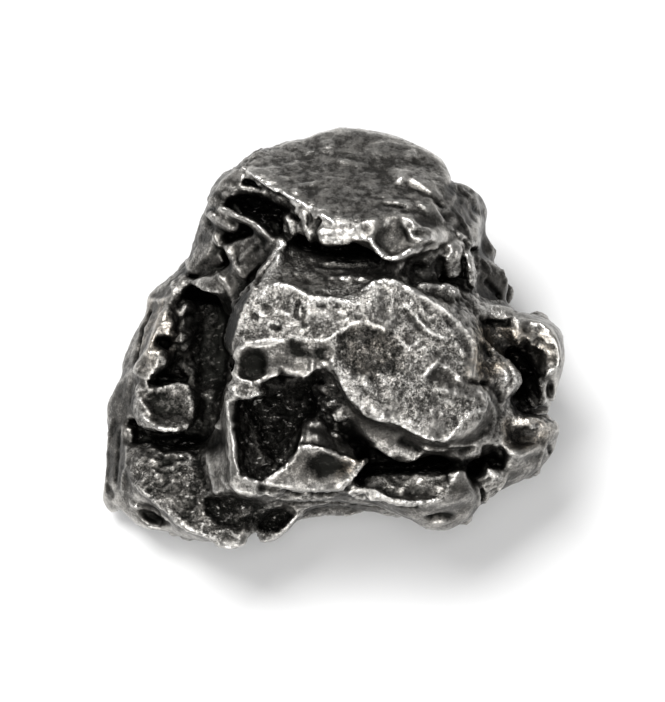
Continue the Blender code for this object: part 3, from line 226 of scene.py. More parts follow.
class Skin:
    """A mesh's vertices as the eye sees them, and the marks that are worked into them."""

    OFF = 0.08  # a ray towards the eye starts this far off the skin
    UNDER = 0.05  # and one into the iron this far under it
    PUSH_ROUNDS, PUSH_TOWARDS = 6, 0.35  # rims rise along the evened normal, leaning to the eye
    NEARER = 0.3  # how much nearer a place beside a line has to be to take it
    REACH = 2.4  # widths from a line to where its mark has died out
    SMALL_WAVER, LARGE_WAVER = 0.55, 1.7  # sizes of the unevenness of the marks
    LAYER_SHIFT = Vector((17.3, 5.1, 9.7))  # from one layer of noise to the next
    FAR = 1e9
    SPACING = 0.09  # between the places that a line of pixels is traced at

    def __init__(self, piece):
        self.piece = piece
        self.places, self.normals, self.ends = arrays(piece.data)
        self.count = len(self.places)
        self.valence = np.bincount(self.ends.ravel(), minlength=self.count).astype(float)
        self.tree = BVHTree.FromObject(piece, bpy.context.evaluated_depsgraph_get())
        self.push = self.evened(self.normals, self.PUSH_ROUNDS)
        self.push += self.PUSH_TOWARDS * np.array(TOWARDS)
        self.push /= np.linalg.norm(self.push, axis=1)[:, None]
        self.waver = 0.5 * self.uneven(self.SMALL_WAVER, 0) + 0.5 * self.uneven(self.LARGE_WAVER, 3)
        self.look()
        self.see()

    def uneven(self, size, layer):
        """Noise from -1 to 1 at each vertex, with features of that size; each layer has its own."""
        shift = self.LAYER_SHIFT * layer
        return np.array([noise.noise(Vector(place) / size + shift) for place in self.places])

    def look(self):
        """Works out where the eye sees each vertex: its sight-plane x and y."""
        from_middle = self.places - np.array(SIGHT_MIDDLE)
        shrink = (SIGHT_RANGE - from_middle @ np.array(TOWARDS)) / SIGHT_RANGE
        self.across = from_middle[:, 0] / shrink + RAGGED * self.uneven(RAGGED_SIZE, 1)
        self.upward = from_middle @ np.array(UP) / shrink + RAGGED * self.uneven(RAGGED_SIZE, 2)

    def see(self):
        """Works out which vertices the eye sees: 1 if seen, 0 if hidden."""
        self.open = np.zeros(self.count)
        for index, (place, normal) in enumerate(zip(self.places, self.normals)):
            start = Vector(place + self.OFF * normal)
            if self.tree.ray_cast(start, EYE - start)[0] is None:
                self.open[index] = 1

    def thickness(self, most):
        """How much iron lies behind each vertex, up to most."""
        found = np.full(self.count, most)
        for index, (place, normal) in enumerate(zip(self.places, self.normals)):
            hit = self.tree.ray_cast(Vector(place - self.UNDER * normal), Vector(-normal), most)
            if hit[0] is not None:
                found[index] = hit[3]
        return found

    def evened(self, values, rounds):
        """Values averaged with their neighbours' that many times."""
        values = values.reshape(self.count, -1).copy()
        first, second = self.ends[:, 0], self.ends[:, 1]
        for _ in range(rounds):
            for column in range(values.shape[1]):
                old = values[:, column]
                total = np.bincount(first, old[second], self.count)
                total = total + np.bincount(second, old[first], self.count)
                values[:, column] = HALF * old + HALF * total / self.valence
        return values

    def seen_at(self, x, y, snap):
        """The skin's nearest place to the eye at x, y, or within snap of it; None off the stone."""
        best = None
        around = [(0, 0)] if snap == 0 else [(0, 0), (snap, 0), (-snap, 0), (0, snap), (0, -snap)]
        for dx, dy in around:
            ray = (sight(x + dx, y + dy, 0) - EYE).normalized()
            hit = self.tree.ray_cast(EYE, ray)
            if hit[0] is not None and (best is None or hit[3] < best[1] - self.NEARER):
                best = (hit[0], hit[3])
        return best[0] if best else None

    def traced(self, pixels, snap):
        """Places on the skin along a line of pixels."""
        corners = [at_pixel(pixel) for pixel in pixels]
        found = []
        for index, (x, y) in enumerate(corners):
            start = corners[index - 1] if index else (x, y)
            steps = max(1, round(math.dist(start, (x, y)) / self.SPACING))
            for step in range(1, steps + 1):
                share = step / steps
                along = start[0] + (x - start[0]) * share, start[1] + (y - start[1]) * share
                place = self.seen_at(*along, snap)
                if place is not None:
                    found.append(place)
        return np.array(found).reshape(-1, 3)

    def nearness(self, spots, width):
        """Indexes of the vertices near some places, and how near: 1 at a place, falling off over width."""
        reach = self.REACH * width
        low, high = spots.min(0) - reach, spots.max(0) + reach
        near = np.flatnonzero(((self.places > low) & (self.places < high)).all(1))
        closest = np.full(len(near), self.FAR)
        for spot in spots:
            np.minimum(closest, ((self.places[near] - spot) ** 2).sum(1), out=closest)
        kept = closest < reach * reach
        return near[kept], np.exp(-closest[kept] / (width * width))

    def inside(self, pixels, soft):
        """How far each vertex is inside an outline in the picture, 0 to 1 across its soft edge."""
        corners = np.array([at_pixel(pixel) for pixel in pixels])
        low, high = corners.min(0) - soft, corners.max(0) + soft
        level = (self.across > low[0]) & (self.across < high[0])
        near = np.flatnonzero(level & (self.upward > low[1]) & (self.upward < high[1]))
        spots = np.stack([self.across[near], self.upward[near]], 1)
        odd = np.zeros(len(near), bool)
        closest = np.full(len(near), self.FAR)
        for start, end in zip(corners, np.roll(corners, -1, 0)):
            along = end - start
            share = np.clip(((spots - start) @ along) / (along @ along), 0, 1)
            closest = np.minimum(closest, np.linalg.norm(spots - start - share[:, None] * along, axis=1))
            if start[1] != end[1]:
                crossing = start[0] + (spots[:, 1] - start[1]) * along[0] / along[1]
                odd ^= ((start[1] > spots[:, 1]) != (end[1] > spots[:, 1])) & (spots[:, 0] < crossing)
        signed = np.where(odd, closest, -closest)
        share = np.clip(signed / (2 * soft) + 0.5, 0, 1)
        return near, share * share * (3 - 2 * share)

    def write(self):
        """Puts the worked places back into the mesh."""
        self.piece.data.vertices.foreach_set("co", self.places.astype(np.float32).ravel())
        self.piece.data.update()


class Line:
    """A raised rim or a groove along some pixels, with painted light: a painted highlight where its value
    is above nought, painted shade where it is below. Height and width are in millimetres.
    """

    SNAP = 0.12  # a rim at the edge of a gap is looked for this far beside its pixels too
    WAVER = 0.9  # how much its height comes and goes
    PAINT_SHARE, PAINT_WAVER = 0.6, 1.6
    PAINT_WIDTH, LEAST_PAINT_WIDTH = 0.7, 0.14  # the first as a share of the mark's own width

    def __init__(self, height, width, *pixels, shine):
        self.height, self.width, self.pixels, self.shine = height, width, pixels, shine

    def spots(self, skin):
        return skin.traced(self.pixels, snap=self.SNAP if self.height > 0 else 0.0)

    def carve(self, skin):
        spots = self.spots(skin)
        if len(spots):
            near, share = skin.nearness(spots, self.width)
            share *= 1 + self.WAVER * skin.waver[near]
            skin.places[near] += skin.push[near] * (self.height * share)[:, None]

    def paint(self, skin, shine):
        spots = self.spots(skin)
        if len(spots):
            near, share = skin.nearness(spots, max(self.LEAST_PAINT_WIDTH, self.PAINT_WIDTH * self.width))
            # Painted light: a highlight along a raised rim, shade along a groove, as the mark's value says.
            shine[near] += self.PAINT_SHARE * self.shine * share * (1 + self.PAINT_WAVER * skin.waver[near])


class Patch:
    """A plateau or a sunk area inside an outline of pixels, with its own painted light: a painted highlight
    where its value is above nought, painted shade where it is below.
    """

    def __init__(self, height, soft, *pixels, shine=0.0):
        self.height, self.soft, self.pixels, self.shine = height, soft, pixels, shine

    def near(self, skin):
        near, share = skin.inside(self.pixels, self.soft)
        return near, share * skin.open[near]

    def carve(self, skin):
        if self.height:
            near, share = self.near(skin)
            skin.places[near] += np.array(TOWARDS) * (self.height * share)[:, None]

    def paint(self, skin, shine):
        near, share = self.near(skin)
        # Painted light inside the outline: a highlight where the value is above nought, shade where below.
        shine[near] += self.shine * share


class Shift:
    """Slides the stone inside an outline across the picture, by so many pixels to the right and up."""

    def __init__(self, right, up, soft, *pixels):
        self.move = PIXEL * (right * Vector((1, 0, 0)) + up * UP)
        self.soft, self.pixels = soft, pixels

    def carve(self, skin):
        near, share = skin.inside(self.pixels, self.soft)
        skin.places[near] += share[:, None] * np.array(self.move)

    def paint(self, skin, shine):
        """It leaves the finish alone."""


class Facet:
    """A face of the stone inside an outline; each corner is a pixel and how far towards the eye it lies."""

    BLEND = 0.05  # square millimetres; keeps a corner's pull finite

    def __init__(self, soft, *corners):
        self.soft, self.corners = soft, np.array(corners, float)

    def carve(self, skin):
        near, share = skin.inside(self.corners[:, :2], self.soft)
        share *= skin.open[near]
        spots = np.stack([skin.across[near], skin.upward[near]], 1)
        places = np.array([at_pixel(corner) for corner in self.corners[:, :2]])
        pull = 1 / (((spots[:, None] - places[None]) ** 2).sum(2) + self.BLEND)
        depth = (pull @ self.corners[:, 2]) / pull.sum(1)
        now = (skin.places[near] - np.array(SIGHT_MIDDLE)) @ np.array(TOWARDS)
        nearer = (depth - now) * share / (SIGHT_RANGE - now)
        skin.places[near] += (np.array(EYE) - skin.places[near]) * nearer[:, None]


class Zone:
    """How the skin is inside some pixels: rough, grain, streak and warm from 0 to 1, and its tone, which is
    partly the iron's own and partly painted light and shade.
    """

    ELSEWHERE = {"rough": 0.7, "grain": 0.35, "streak": 0.0, "warm": 0.15, "tone": -0.12}

    def __init__(self, soft, *pixels, **values):
        self.soft, self.pixels, self.values = soft, pixels, values

    def lay(self, skin, laid):
        near, share = skin.inside(self.pixels, self.soft)
        share = share * skin.open[near]
        for name, value in self.values.items():
            laid[name][near] += (value - laid[name][near]) * share


def zones():
    """The kinds of skin that the eye sees, from the left flank over crown and face to the nose.

    A later one lies over the earlier.
    """
    return [
        # Left flank.
        Zone(0.8, (90, 280), (200, 240), (240, 300), (226, 480), (240, 560), (95, 560), rough=0.55,
             grain=0.6, tone=-0.14),
        # Apron.
        Zone(0.8, (128, 440), (200, 440), (226, 470), (236, 540), (200, 540), (150, 505), (128, 480),
             rough=0.6, grain=0.8, tone=-0.46),
        # Valley between flank and face, painted dark as shade.
        Zone(0.6, (176, 296), (232, 296), (236, 330), (226, 384), (192, 384), (172, 340), rough=0.7,
             grain=0.4, tone=-0.45),
        # Inner side of the left flank.
        Zone(0.8, (170, 300), (194, 300), (198, 340), (190, 384), (176, 384), (168, 340), rough=0.9,
             grain=0.4, tone=-0.12),
        # Gap beside the face, painted black as shade.
        Zone(0.2, (222, 292), (254, 288), (246, 304), (240, 318), (235, 334), (229, 352), (226, 372),
             (225, 402), (214, 402), (217, 340), rough=0.3, grain=0.4, tone=-1.2),
        # Pillar right of the apron.
        Zone(0.4, (200, 436), (226, 410), (230, 470), (228, 494), (210, 494), (204, 470), rough=0.12,
             grain=0.15, streak=0.3, tone=0.08),
        # Rough foot right of the apron.
        Zone(0.5, (200, 498), (225, 493), (245, 497), (290, 508), (292, 530), (262, 536), (240, 524),
             (214, 516), rough=0.6, grain=1.0, tone=-0.36),
        # Outer left hem.
        Zone(0.5, (95, 370), (135, 372), (132, 430), (132, 480), (172, 520), (215, 540), (250, 540),
             (235, 556), (150, 540), (95, 520), rough=0.12, grain=0.15, streak=0.3, tone=-0.44),
        # Shelf above the apron.
        Zone(0.5, (140, 385), (190, 382), (196, 430), (140, 432), rough=0.4, grain=0.3, tone=-0.36),
        # Outer left side.
        Zone(0.5, (128, 290), (180, 280), (160, 330), (140, 385), (120, 385), rough=0.15, grain=0.15,
             tone=-0.16),
        # Brow and pitted skin under it.
        Zone(0.4, (185, 170), (232, 172), (290, 205), (290, 245), (236, 300), (186, 300), (170, 270),
             rough=0.25, grain=0.25, tone=-0.36),
        # Cave mouth under the crown's left end.
        Zone(0.5, (236, 196), (262, 192), (286, 210), (290, 234), (272, 234), (250, 216), (238, 206),
             rough=0.7, grain=0.9, tone=-0.25),
        # Crown plate.
        Zone(0.4, (228, 176), (243, 168), (300, 130), (400, 125), (450, 160), (458, 198), (440, 232),
             (398, 240), (330, 226), (300, 205), (268, 188), rough=0.26, grain=0.12, streak=0.8,
             tone=0.36),
        # Crown's front edge and the hook.
        Zone(0.3, (320, 228), (400, 200), (440, 205), (432, 262), (376, 275), (366, 242), (318, 242),
             rough=0.2, grain=0.25, streak=0.2, tone=0.18),
        # Neck.
        Zone(0.4, (272, 240), (388, 246), (388, 284), (350, 300), (310, 296), (262, 284), rough=0.35,
             grain=0.6, streak=0.5, tone=0.22),
        # Smooth shoulder.
        Zone(0.4, (430, 203), (456, 222), (480, 250), (478, 290), (470, 256), (446, 246), (430, 250),
             rough=0.03, grain=0.1, streak=0.1, tone=0.18),
        # Far side of the shoulder.
        Zone(0.4, (440, 186), (456, 180), (490, 185), (512, 260), (510, 304), (480, 300), (478, 250),
             (452, 224), rough=0.10, grain=0.12, streak=0.3, tone=-0.38),
        # Recess under the shoulder.
        Zone(0.5, (408, 256), (476, 246), (478, 292), (440, 298), (408, 286), rough=0.5, grain=0.6,
             streak=0.3, tone=0.15),
        # Right side.
        Zone(0.5, (478, 300), (570, 320), (570, 380), (562, 460), (500, 492), (480, 440), (500, 400),
             (480, 340), rough=0.45, grain=0.6, tone=0.04),
        # Right side's lower end.
        Zone(0.4, (502, 446), (552, 436), (568, 420), (562, 462), (530, 492), (500, 496), (500, 470),
             rough=0.10, grain=0.15, tone=-0.28),
        # Roof band at the right.
        Zone(0.4, (478, 298), (512, 300), (548, 312), (566, 332), (570, 376), (556, 376), (556, 344),
             (544, 326), (520, 318), (500, 306), rough=0.08, grain=0.15, tone=-0.10),
        # Panel inside the right side's outer rim.
        Zone(0.4, (522, 326), (546, 328), (554, 348), (550, 368), (540, 368), (530, 352), (520, 344),
             rough=0.4, grain=0.5, streak=0.5, tone=0.18),
        # Smooth strip at the right edge.
        Zone(0.3, (546, 378), (568, 376), (562, 414), (548, 418), rough=0.05, grain=0.1, streak=0.4,
             tone=-0.04),
        # Pitted face.
        Zone(0.4, (232, 345), (248, 300), (262, 286), (300, 288), (350, 300), (385, 279), (412, 286),
             (452, 310), (477, 340), (480, 380), (488, 395), (484, 412), (450, 440), (430, 441),
             (385, 421), (360, 407), (341, 380), (336, 352), (292, 342), rough=0.3, grain=0.8,
             tone=-0.12),
        # Sunk middle of the face.
        Zone(0.9, (336, 340), (350, 328), (372, 330), (392, 336), (404, 352), (400, 372), (382, 372),
             (364, 366), (352, 374), (340, 360), rough=0.3, grain=0.8, tone=-0.38),
        # Face's right pits.
        Zone(0.6, (402, 340), (436, 344), (440, 362), (420, 378), (404, 372), rough=0.3, grain=0.8,
             tone=-0.10),
        # Face's smooth right edge.
        Zone(0.3, (454, 318), (470, 336), (478, 352), (478, 378), (466, 376), (466, 350), (456, 336),
             rough=0.0, grain=0.12, tone=0.04),
        # Face's smooth upper rim.
        Zone(0.3, (400, 281), (430, 296), (452, 314), (446, 318), (424, 304), (398, 288), rough=0.0,
             grain=0.12, tone=0.04),
        # Matt skirt under the face.
        Zone(0.3, (342, 384), (362, 412), (385, 424), (430, 444), (450, 442), (482, 414), (486, 392),
             (500, 408), (496, 440), (478, 456), (450, 464), (400, 466), (372, 446), (350, 436),
             (344, 400), rough=0.10, grain=0.25, tone=-0.20),
        # Lip.
        Zone(0.3, (228, 352), (246, 340), (290, 340), (316, 356), (314, 376), (284, 382), (262, 396),
             (240, 400), (228, 384), rough=0.03, grain=0.22, tone=-0.24),
        # Deep hollow.
        Zone(0.5, (240, 400), (264, 384), (332, 374), (350, 420), (310, 424), (290, 470), (262, 480),
             (240, 474), rough=0.8, grain=1.0, tone=-0.20),
        # Hollow's left wall.
        Zone(0.3, (228, 400), (236, 402), (237, 464), (244, 476), (262, 481), (290, 492), (240, 498),
             (230, 488), rough=0.05, grain=0.15, tone=-0.18),
        # Tooth block.
        Zone(0.3, (300, 424), (322, 420), (330, 450), (368, 460), (352, 482), (340, 493), (300, 492),
             (262, 482), (290, 468), rough=0.02, grain=0.15, tone=-0.38),
        # Layers under the tooth, painted dark as shade.
        Zone(0.3, (250, 492), (345, 492), (420, 512), (400, 520), (300, 512), (250, 505), rough=0.35,
             grain=0.3, streak=0.6, tone=-0.25),
        # Lower ledge.
        Zone(0.3, (352, 466), (440, 468), (452, 500), (420, 502), (386, 497), (352, 488), rough=0.35,
             grain=0.9, streak=0.8, tone=-0.18),
        # Brown middle of the face.
        Zone(1.0, (334, 332), (372, 322), (404, 340), (402, 376), (352, 376), warm=0.45),
        # Brown about the knob at the right.
        Zone(0.8, (478, 322), (512, 324), (520, 346), (508, 366), (488, 382), (468, 382), (470, 352),
             warm=1.0),
        # Brown panel at the right.
        Zone(0.8, (512, 326), (548, 330), (556, 360), (530, 368), (514, 350), warm=0.7),
        # Brown rubble at the right.
        Zone(0.8, (502, 420), (550, 416), (546, 440), (520, 450), (504, 444), warm=0.9),
        # Brown at the tooth block's right end.
        Zone(0.5, (336, 456), (366, 458), (354, 476), (336, 478), warm=1.0),
        # Brown left flank.
        Zone(0.8, (140, 300), (176, 300), (176, 352), (140, 372), warm=0.6),
        # Smooth band under the apron's hem.
        Zone(0.3, (132, 487), (150, 501), (172, 521), (215, 541), (262, 545), (288, 528), (298, 513),
             (296, 532), (262, 556), (150, 545), (104, 512), (100, 480), rough=0.08, grain=0.1,
             streak=0.3, tone=-0.08),
        # Smooth nose.
        Zone(0.3, (384, 505), (420, 508), (446, 500), (452, 478), (468, 470), (484, 490), (482, 512),
             (450, 535), (420, 526), rough=0.02, grain=0.05, tone=-0.34),
    ]


def laid(skin):
    """The zones' values for every vertex of the skin."""
    values = {name: np.full(skin.count, value) for name, value in Zone.ELSEWHERE.items()}
    for zone in zones():
        zone.lay(skin, values)
    return {name: skin.evened(value, ZONE_ROUNDS)[:, 0] for name, value in values.items()}


def crown_marks():
    """The flat dark plate at the top, its double front rim, its torn front edge and its right end."""
    return [
        # The plate, and the double front rim at its left.
        Patch(0, 0.4, (232, 172), (262, 150), (300, 138), (340, 128), (400, 134), (447, 165), (456, 195),
              (440, 232), (395, 236), (330, 226), (300, 203), (268, 186), (243, 170), shine=-0.28),
        Line(0.30, 0.20, (243, 169), (252, 174), (260, 180), (270, 187), (277, 190), shine=0.9),
        Line(0.26, 0.18, (282, 192), (290, 197), (297, 200), (303, 204), (310, 210), shine=0.9),
        Line(0.26, 0.18, (256, 183), (263, 187), (272, 193), (283, 199), (294, 203), shine=0.8),
        Line(-0.20, 0.18, (256, 180), (268, 189), (280, 196), (292, 201), shine=-0.3),
        Patch(0, 0.3, (254, 185), (268, 191), (298, 206), (297, 213), (282, 207), (266, 199), (253, 194),
              shine=0.35),
        # Where that rim runs into the torn edge.
        Line(0.22, 0.22, (311, 211), (316, 217), (320, 215), (326, 217), (332, 221), shine=0.8),
        Line(0.25, 0.20, (316, 217), (313, 224), (311, 230), shine=0.6),
        # Short bars scattered over the plate, with painted highlights.
        Line(0.20, 0.16, (300, 186), (305, 184), (313, 184), shine=0.5),
        Line(0.16, 0.16, (294, 190), (299, 193), shine=0.4),
        Line(0.12, 0.34, (288, 147), (300, 149), (309, 152), shine=0.35),
        Line(0.10, 0.28, (338, 160), (350, 162), shine=0.35),
        Line(0.10, 0.28, (352, 152), (362, 156), shine=0.25),
        Line(0.10, 0.28, (355, 163), (362, 170), shine=0.2),
        Line(0.10, 0.28, (355, 192), (365, 193), shine=0.25),
        Line(0.12, 0.26, (330, 144), (333, 146), shine=0.3),
        # The broad ridge at its right, the furrow below that and the right end.
        Patch(0.30, 0.7, (394, 171), (408, 172), (424, 177), (440, 186), (456, 198), (453, 206),
              (436, 197), (414, 187), (398, 180), shine=0.12),
        Line(-0.22, 0.40, (406, 183), (416, 189), (426, 193), (434, 199), (442, 206), shine=-0.45),
        Line(0.16, 0.14, (455, 182), (456, 190), (455, 198), shine=0.5),
        # Furrows and humps behind the right half of the front edge.
        Line(-0.12, 0.26, (370, 195), (378, 198), (386, 200), shine=-0.3),
        Line(0.16, 0.22, (383, 200), (392, 201), (400, 202), shine=0.6),
        Line(-0.12, 0.24, (383, 204), (392, 206), (402, 207), shine=-0.35),
        Line(-0.12, 0.30, (402, 211), (413, 212), (425, 213), shine=-0.35),
        Line(0.22, 0.36, (404, 202), (409, 206), shine=0.4),
        Line(0.22, 0.34, (418, 204), (424, 206), (429, 209), shine=0.4),
        # The layered edge over the cave.
        Line(0.30, 0.24, (320, 232), (336, 232), (352, 231), shine=0.5),
        Line(0.26, 0.20, (322, 238), (338, 237), (356, 236), shine=0.4),
        Line(-0.30, 0.14, (324, 235), (338, 234), (354, 234), shine=-0.4),
        Line(0.24, 0.20, (355, 239), (363, 239), (370, 240), shine=0.6),
        Line(0.20, 0.28, (358, 226), (367, 222), (377, 220), shine=0.5),
        Line(-0.22, 0.40, (366, 227), (369, 234), shine=-0.45),
    ]


def tooth_marks():
    """The torn teeth that hang from the crown's front edge, over the cave."""
    return [
        Line(0.30, 0.30, (296, 205), (297, 210), (295, 215), shine=0.5),
        Line(0.30, 0.34, (287, 218), (291, 226), (294, 233), shine=0.5),
        Line(0.25, 0.20, (284, 230), (288, 235), (292, 239), shine=0.5),
        Line(0.30, 0.34, (305, 215), (306, 224), (309, 233), (312, 240), shine=0.5),
        Line(-0.5, 0.26, (297, 216), (299, 226), (302, 236), shine=-0.6),
        Line(0.35, 0.40, (281, 240), (284, 245), shine=0.7),
        Line(0.30, 0.35, (276, 251), (280, 257), shine=0.3),
    ]


def hook_marks():
    """The hooked ledge right of the crown's teeth and the ring-shaped boss beside it."""
    return [
        # The hook and what hangs below it.
        Patch(0, 0.3, (380, 230), (398, 226), (406, 236), (404, 248), (390, 254), (380, 246), shine=0.08),
        Line(0.34, 0.28, (371, 238), (374, 245), (379, 252), (384, 257), (391, 259), (398, 257),
             (405, 253), (411, 250), shine=0.85),
        Line(-0.25, 0.34, (395, 220), (400, 228), (405, 236), shine=-0.45),
        Line(0.26, 0.20, (384, 261), (380, 265), (376, 269), shine=0.7),
        Line(0.26, 0.34, (387, 266), (393, 268), shine=0.3),
        Line(0.26, 0.30, (398, 270), (401, 266), shine=0.3),
        # The ring-shaped boss.
        Line(0.24, 0.18, (403, 218), (410, 220), (413, 224), (415, 229), shine=0.5),
        Line(0.28, 0.20, (410, 232), (414, 237), (420, 239), (430, 238), shine=0.6),
        Line(0.24, 0.18, (418, 226), (423, 229), (429, 228), shine=0.5),
        Line(-0.20, 0.32, (417, 232), (423, 234), (429, 233), shine=-0.4),
    ]


def shoulder_marks():
    """The smooth shoulder right of the crown, the recess under it and the humps behind it."""
    return [
        # The crown's upper outline goes up a little.
        Shift(0, 3, 1.2, (236, 150), (300, 118), (400, 112), (470, 150), (440, 170), (400, 152),
              (340, 146), (290, 152), (250, 172)),
        # The shoulder, its outer rim and its lower rim.
        Patch(0.0, 0.3, (432, 206), (448, 222), (470, 240), (479, 258), (470, 252), (452, 244),
              (436, 248), (430, 232), shine=0.12),
        Line(0.20, 0.14, (433, 205), (438, 213), (443, 220), (450, 228), (458, 233), (466, 238),
             (472, 245), (477, 253), (479, 260), (479, 270), (476, 280), (473, 288), shine=0.5),
        Line(0.26, 0.22, (427, 249), (437, 248), (443, 250), (450, 245), (456, 242), (463, 244),
             (471, 250), shine=0.5),
        # Thin rims and pillars in the recess.
        Line(0.20, 0.12, (411, 262), (408, 270), (405, 279), shine=0.6),
        Line(0.14, 0.14, (433, 272), (438, 276), (443, 276), shine=0.6),
        Line(0.20, 0.20, (467, 256), (470, 268), (471, 282), shine=0.35),
        Line(0.20, 0.20, (452, 250), (446, 262), (444, 274), shine=0.2),
        # Humps at the recess's foot.
        Line(0.34, 0.38, (419, 287), (425, 286), (431, 287), shine=0.1),
        Line(0.34, 0.40, (439, 287), (447, 286), (455, 291), shine=0.2),
        # The skin behind the shoulder.
        Line(0.20, 0.3, (458, 215), (466, 225), (470, 238), shine=-0.5),
        Patch(0.0, 0.3, (466, 208), (482, 214), (486, 240), (474, 244), (466, 228), shine=0.35),
        Line(0.24, 0.20, (462, 190), (470, 196), (477, 206), (482, 218), shine=0.3),
        Line(0.20, 0.16, (480, 258), (487, 264), (490, 272), shine=0.3),
        Line(-0.5, 0.30, (487, 282), (493, 289), (499, 296), shine=-0.8),
        Line(0.22, 0.18, (500, 262), (504, 272), (507, 284), shine=0.3),
    ]


def neck_marks():
    """The saddle between crown and pitted face, the thin rib at its left and the cave above, painted dark
    as shade.
    """
    return [
        # The cave, and the layers of the saddle below it.
        Patch(-0.5, 0.3, (290, 243), (320, 247), (350, 246), (368, 243), (372, 251), (350, 256),
              (325, 254), (304, 250), shine=-0.6),
        Line(0.18, 0.16, (328, 263), (340, 262), (352, 265), (366, 264), shine=0.25),
        Line(0.14, 0.14, (318, 269), (332, 271), (346, 270), shine=0.25),
        Line(-0.2, 0.16, (322, 266), (336, 267), (350, 268), shine=-0.3),
        Line(0.20, 0.15, (330, 278), (345, 277), (356, 278), (367, 279), shine=0.6),
        # The thin rib, with a painted highlight, and the gap at its left, painted black as shade.
        Line(0.30, 0.26, (284, 243), (279, 249), (274, 256), shine=0.4),
        Line(0.28, 0.22, (270, 262), (263, 271), (257, 280), (254, 288), shine=0.5),
        Line(-0.6, 0.24, (264, 262), (257, 270), (250, 280), (248, 290), shine=-0.8),
        Patch(0.0, 0.3, (272, 262), (288, 264), (286, 280), (270, 282), shine=0.1),
    ]


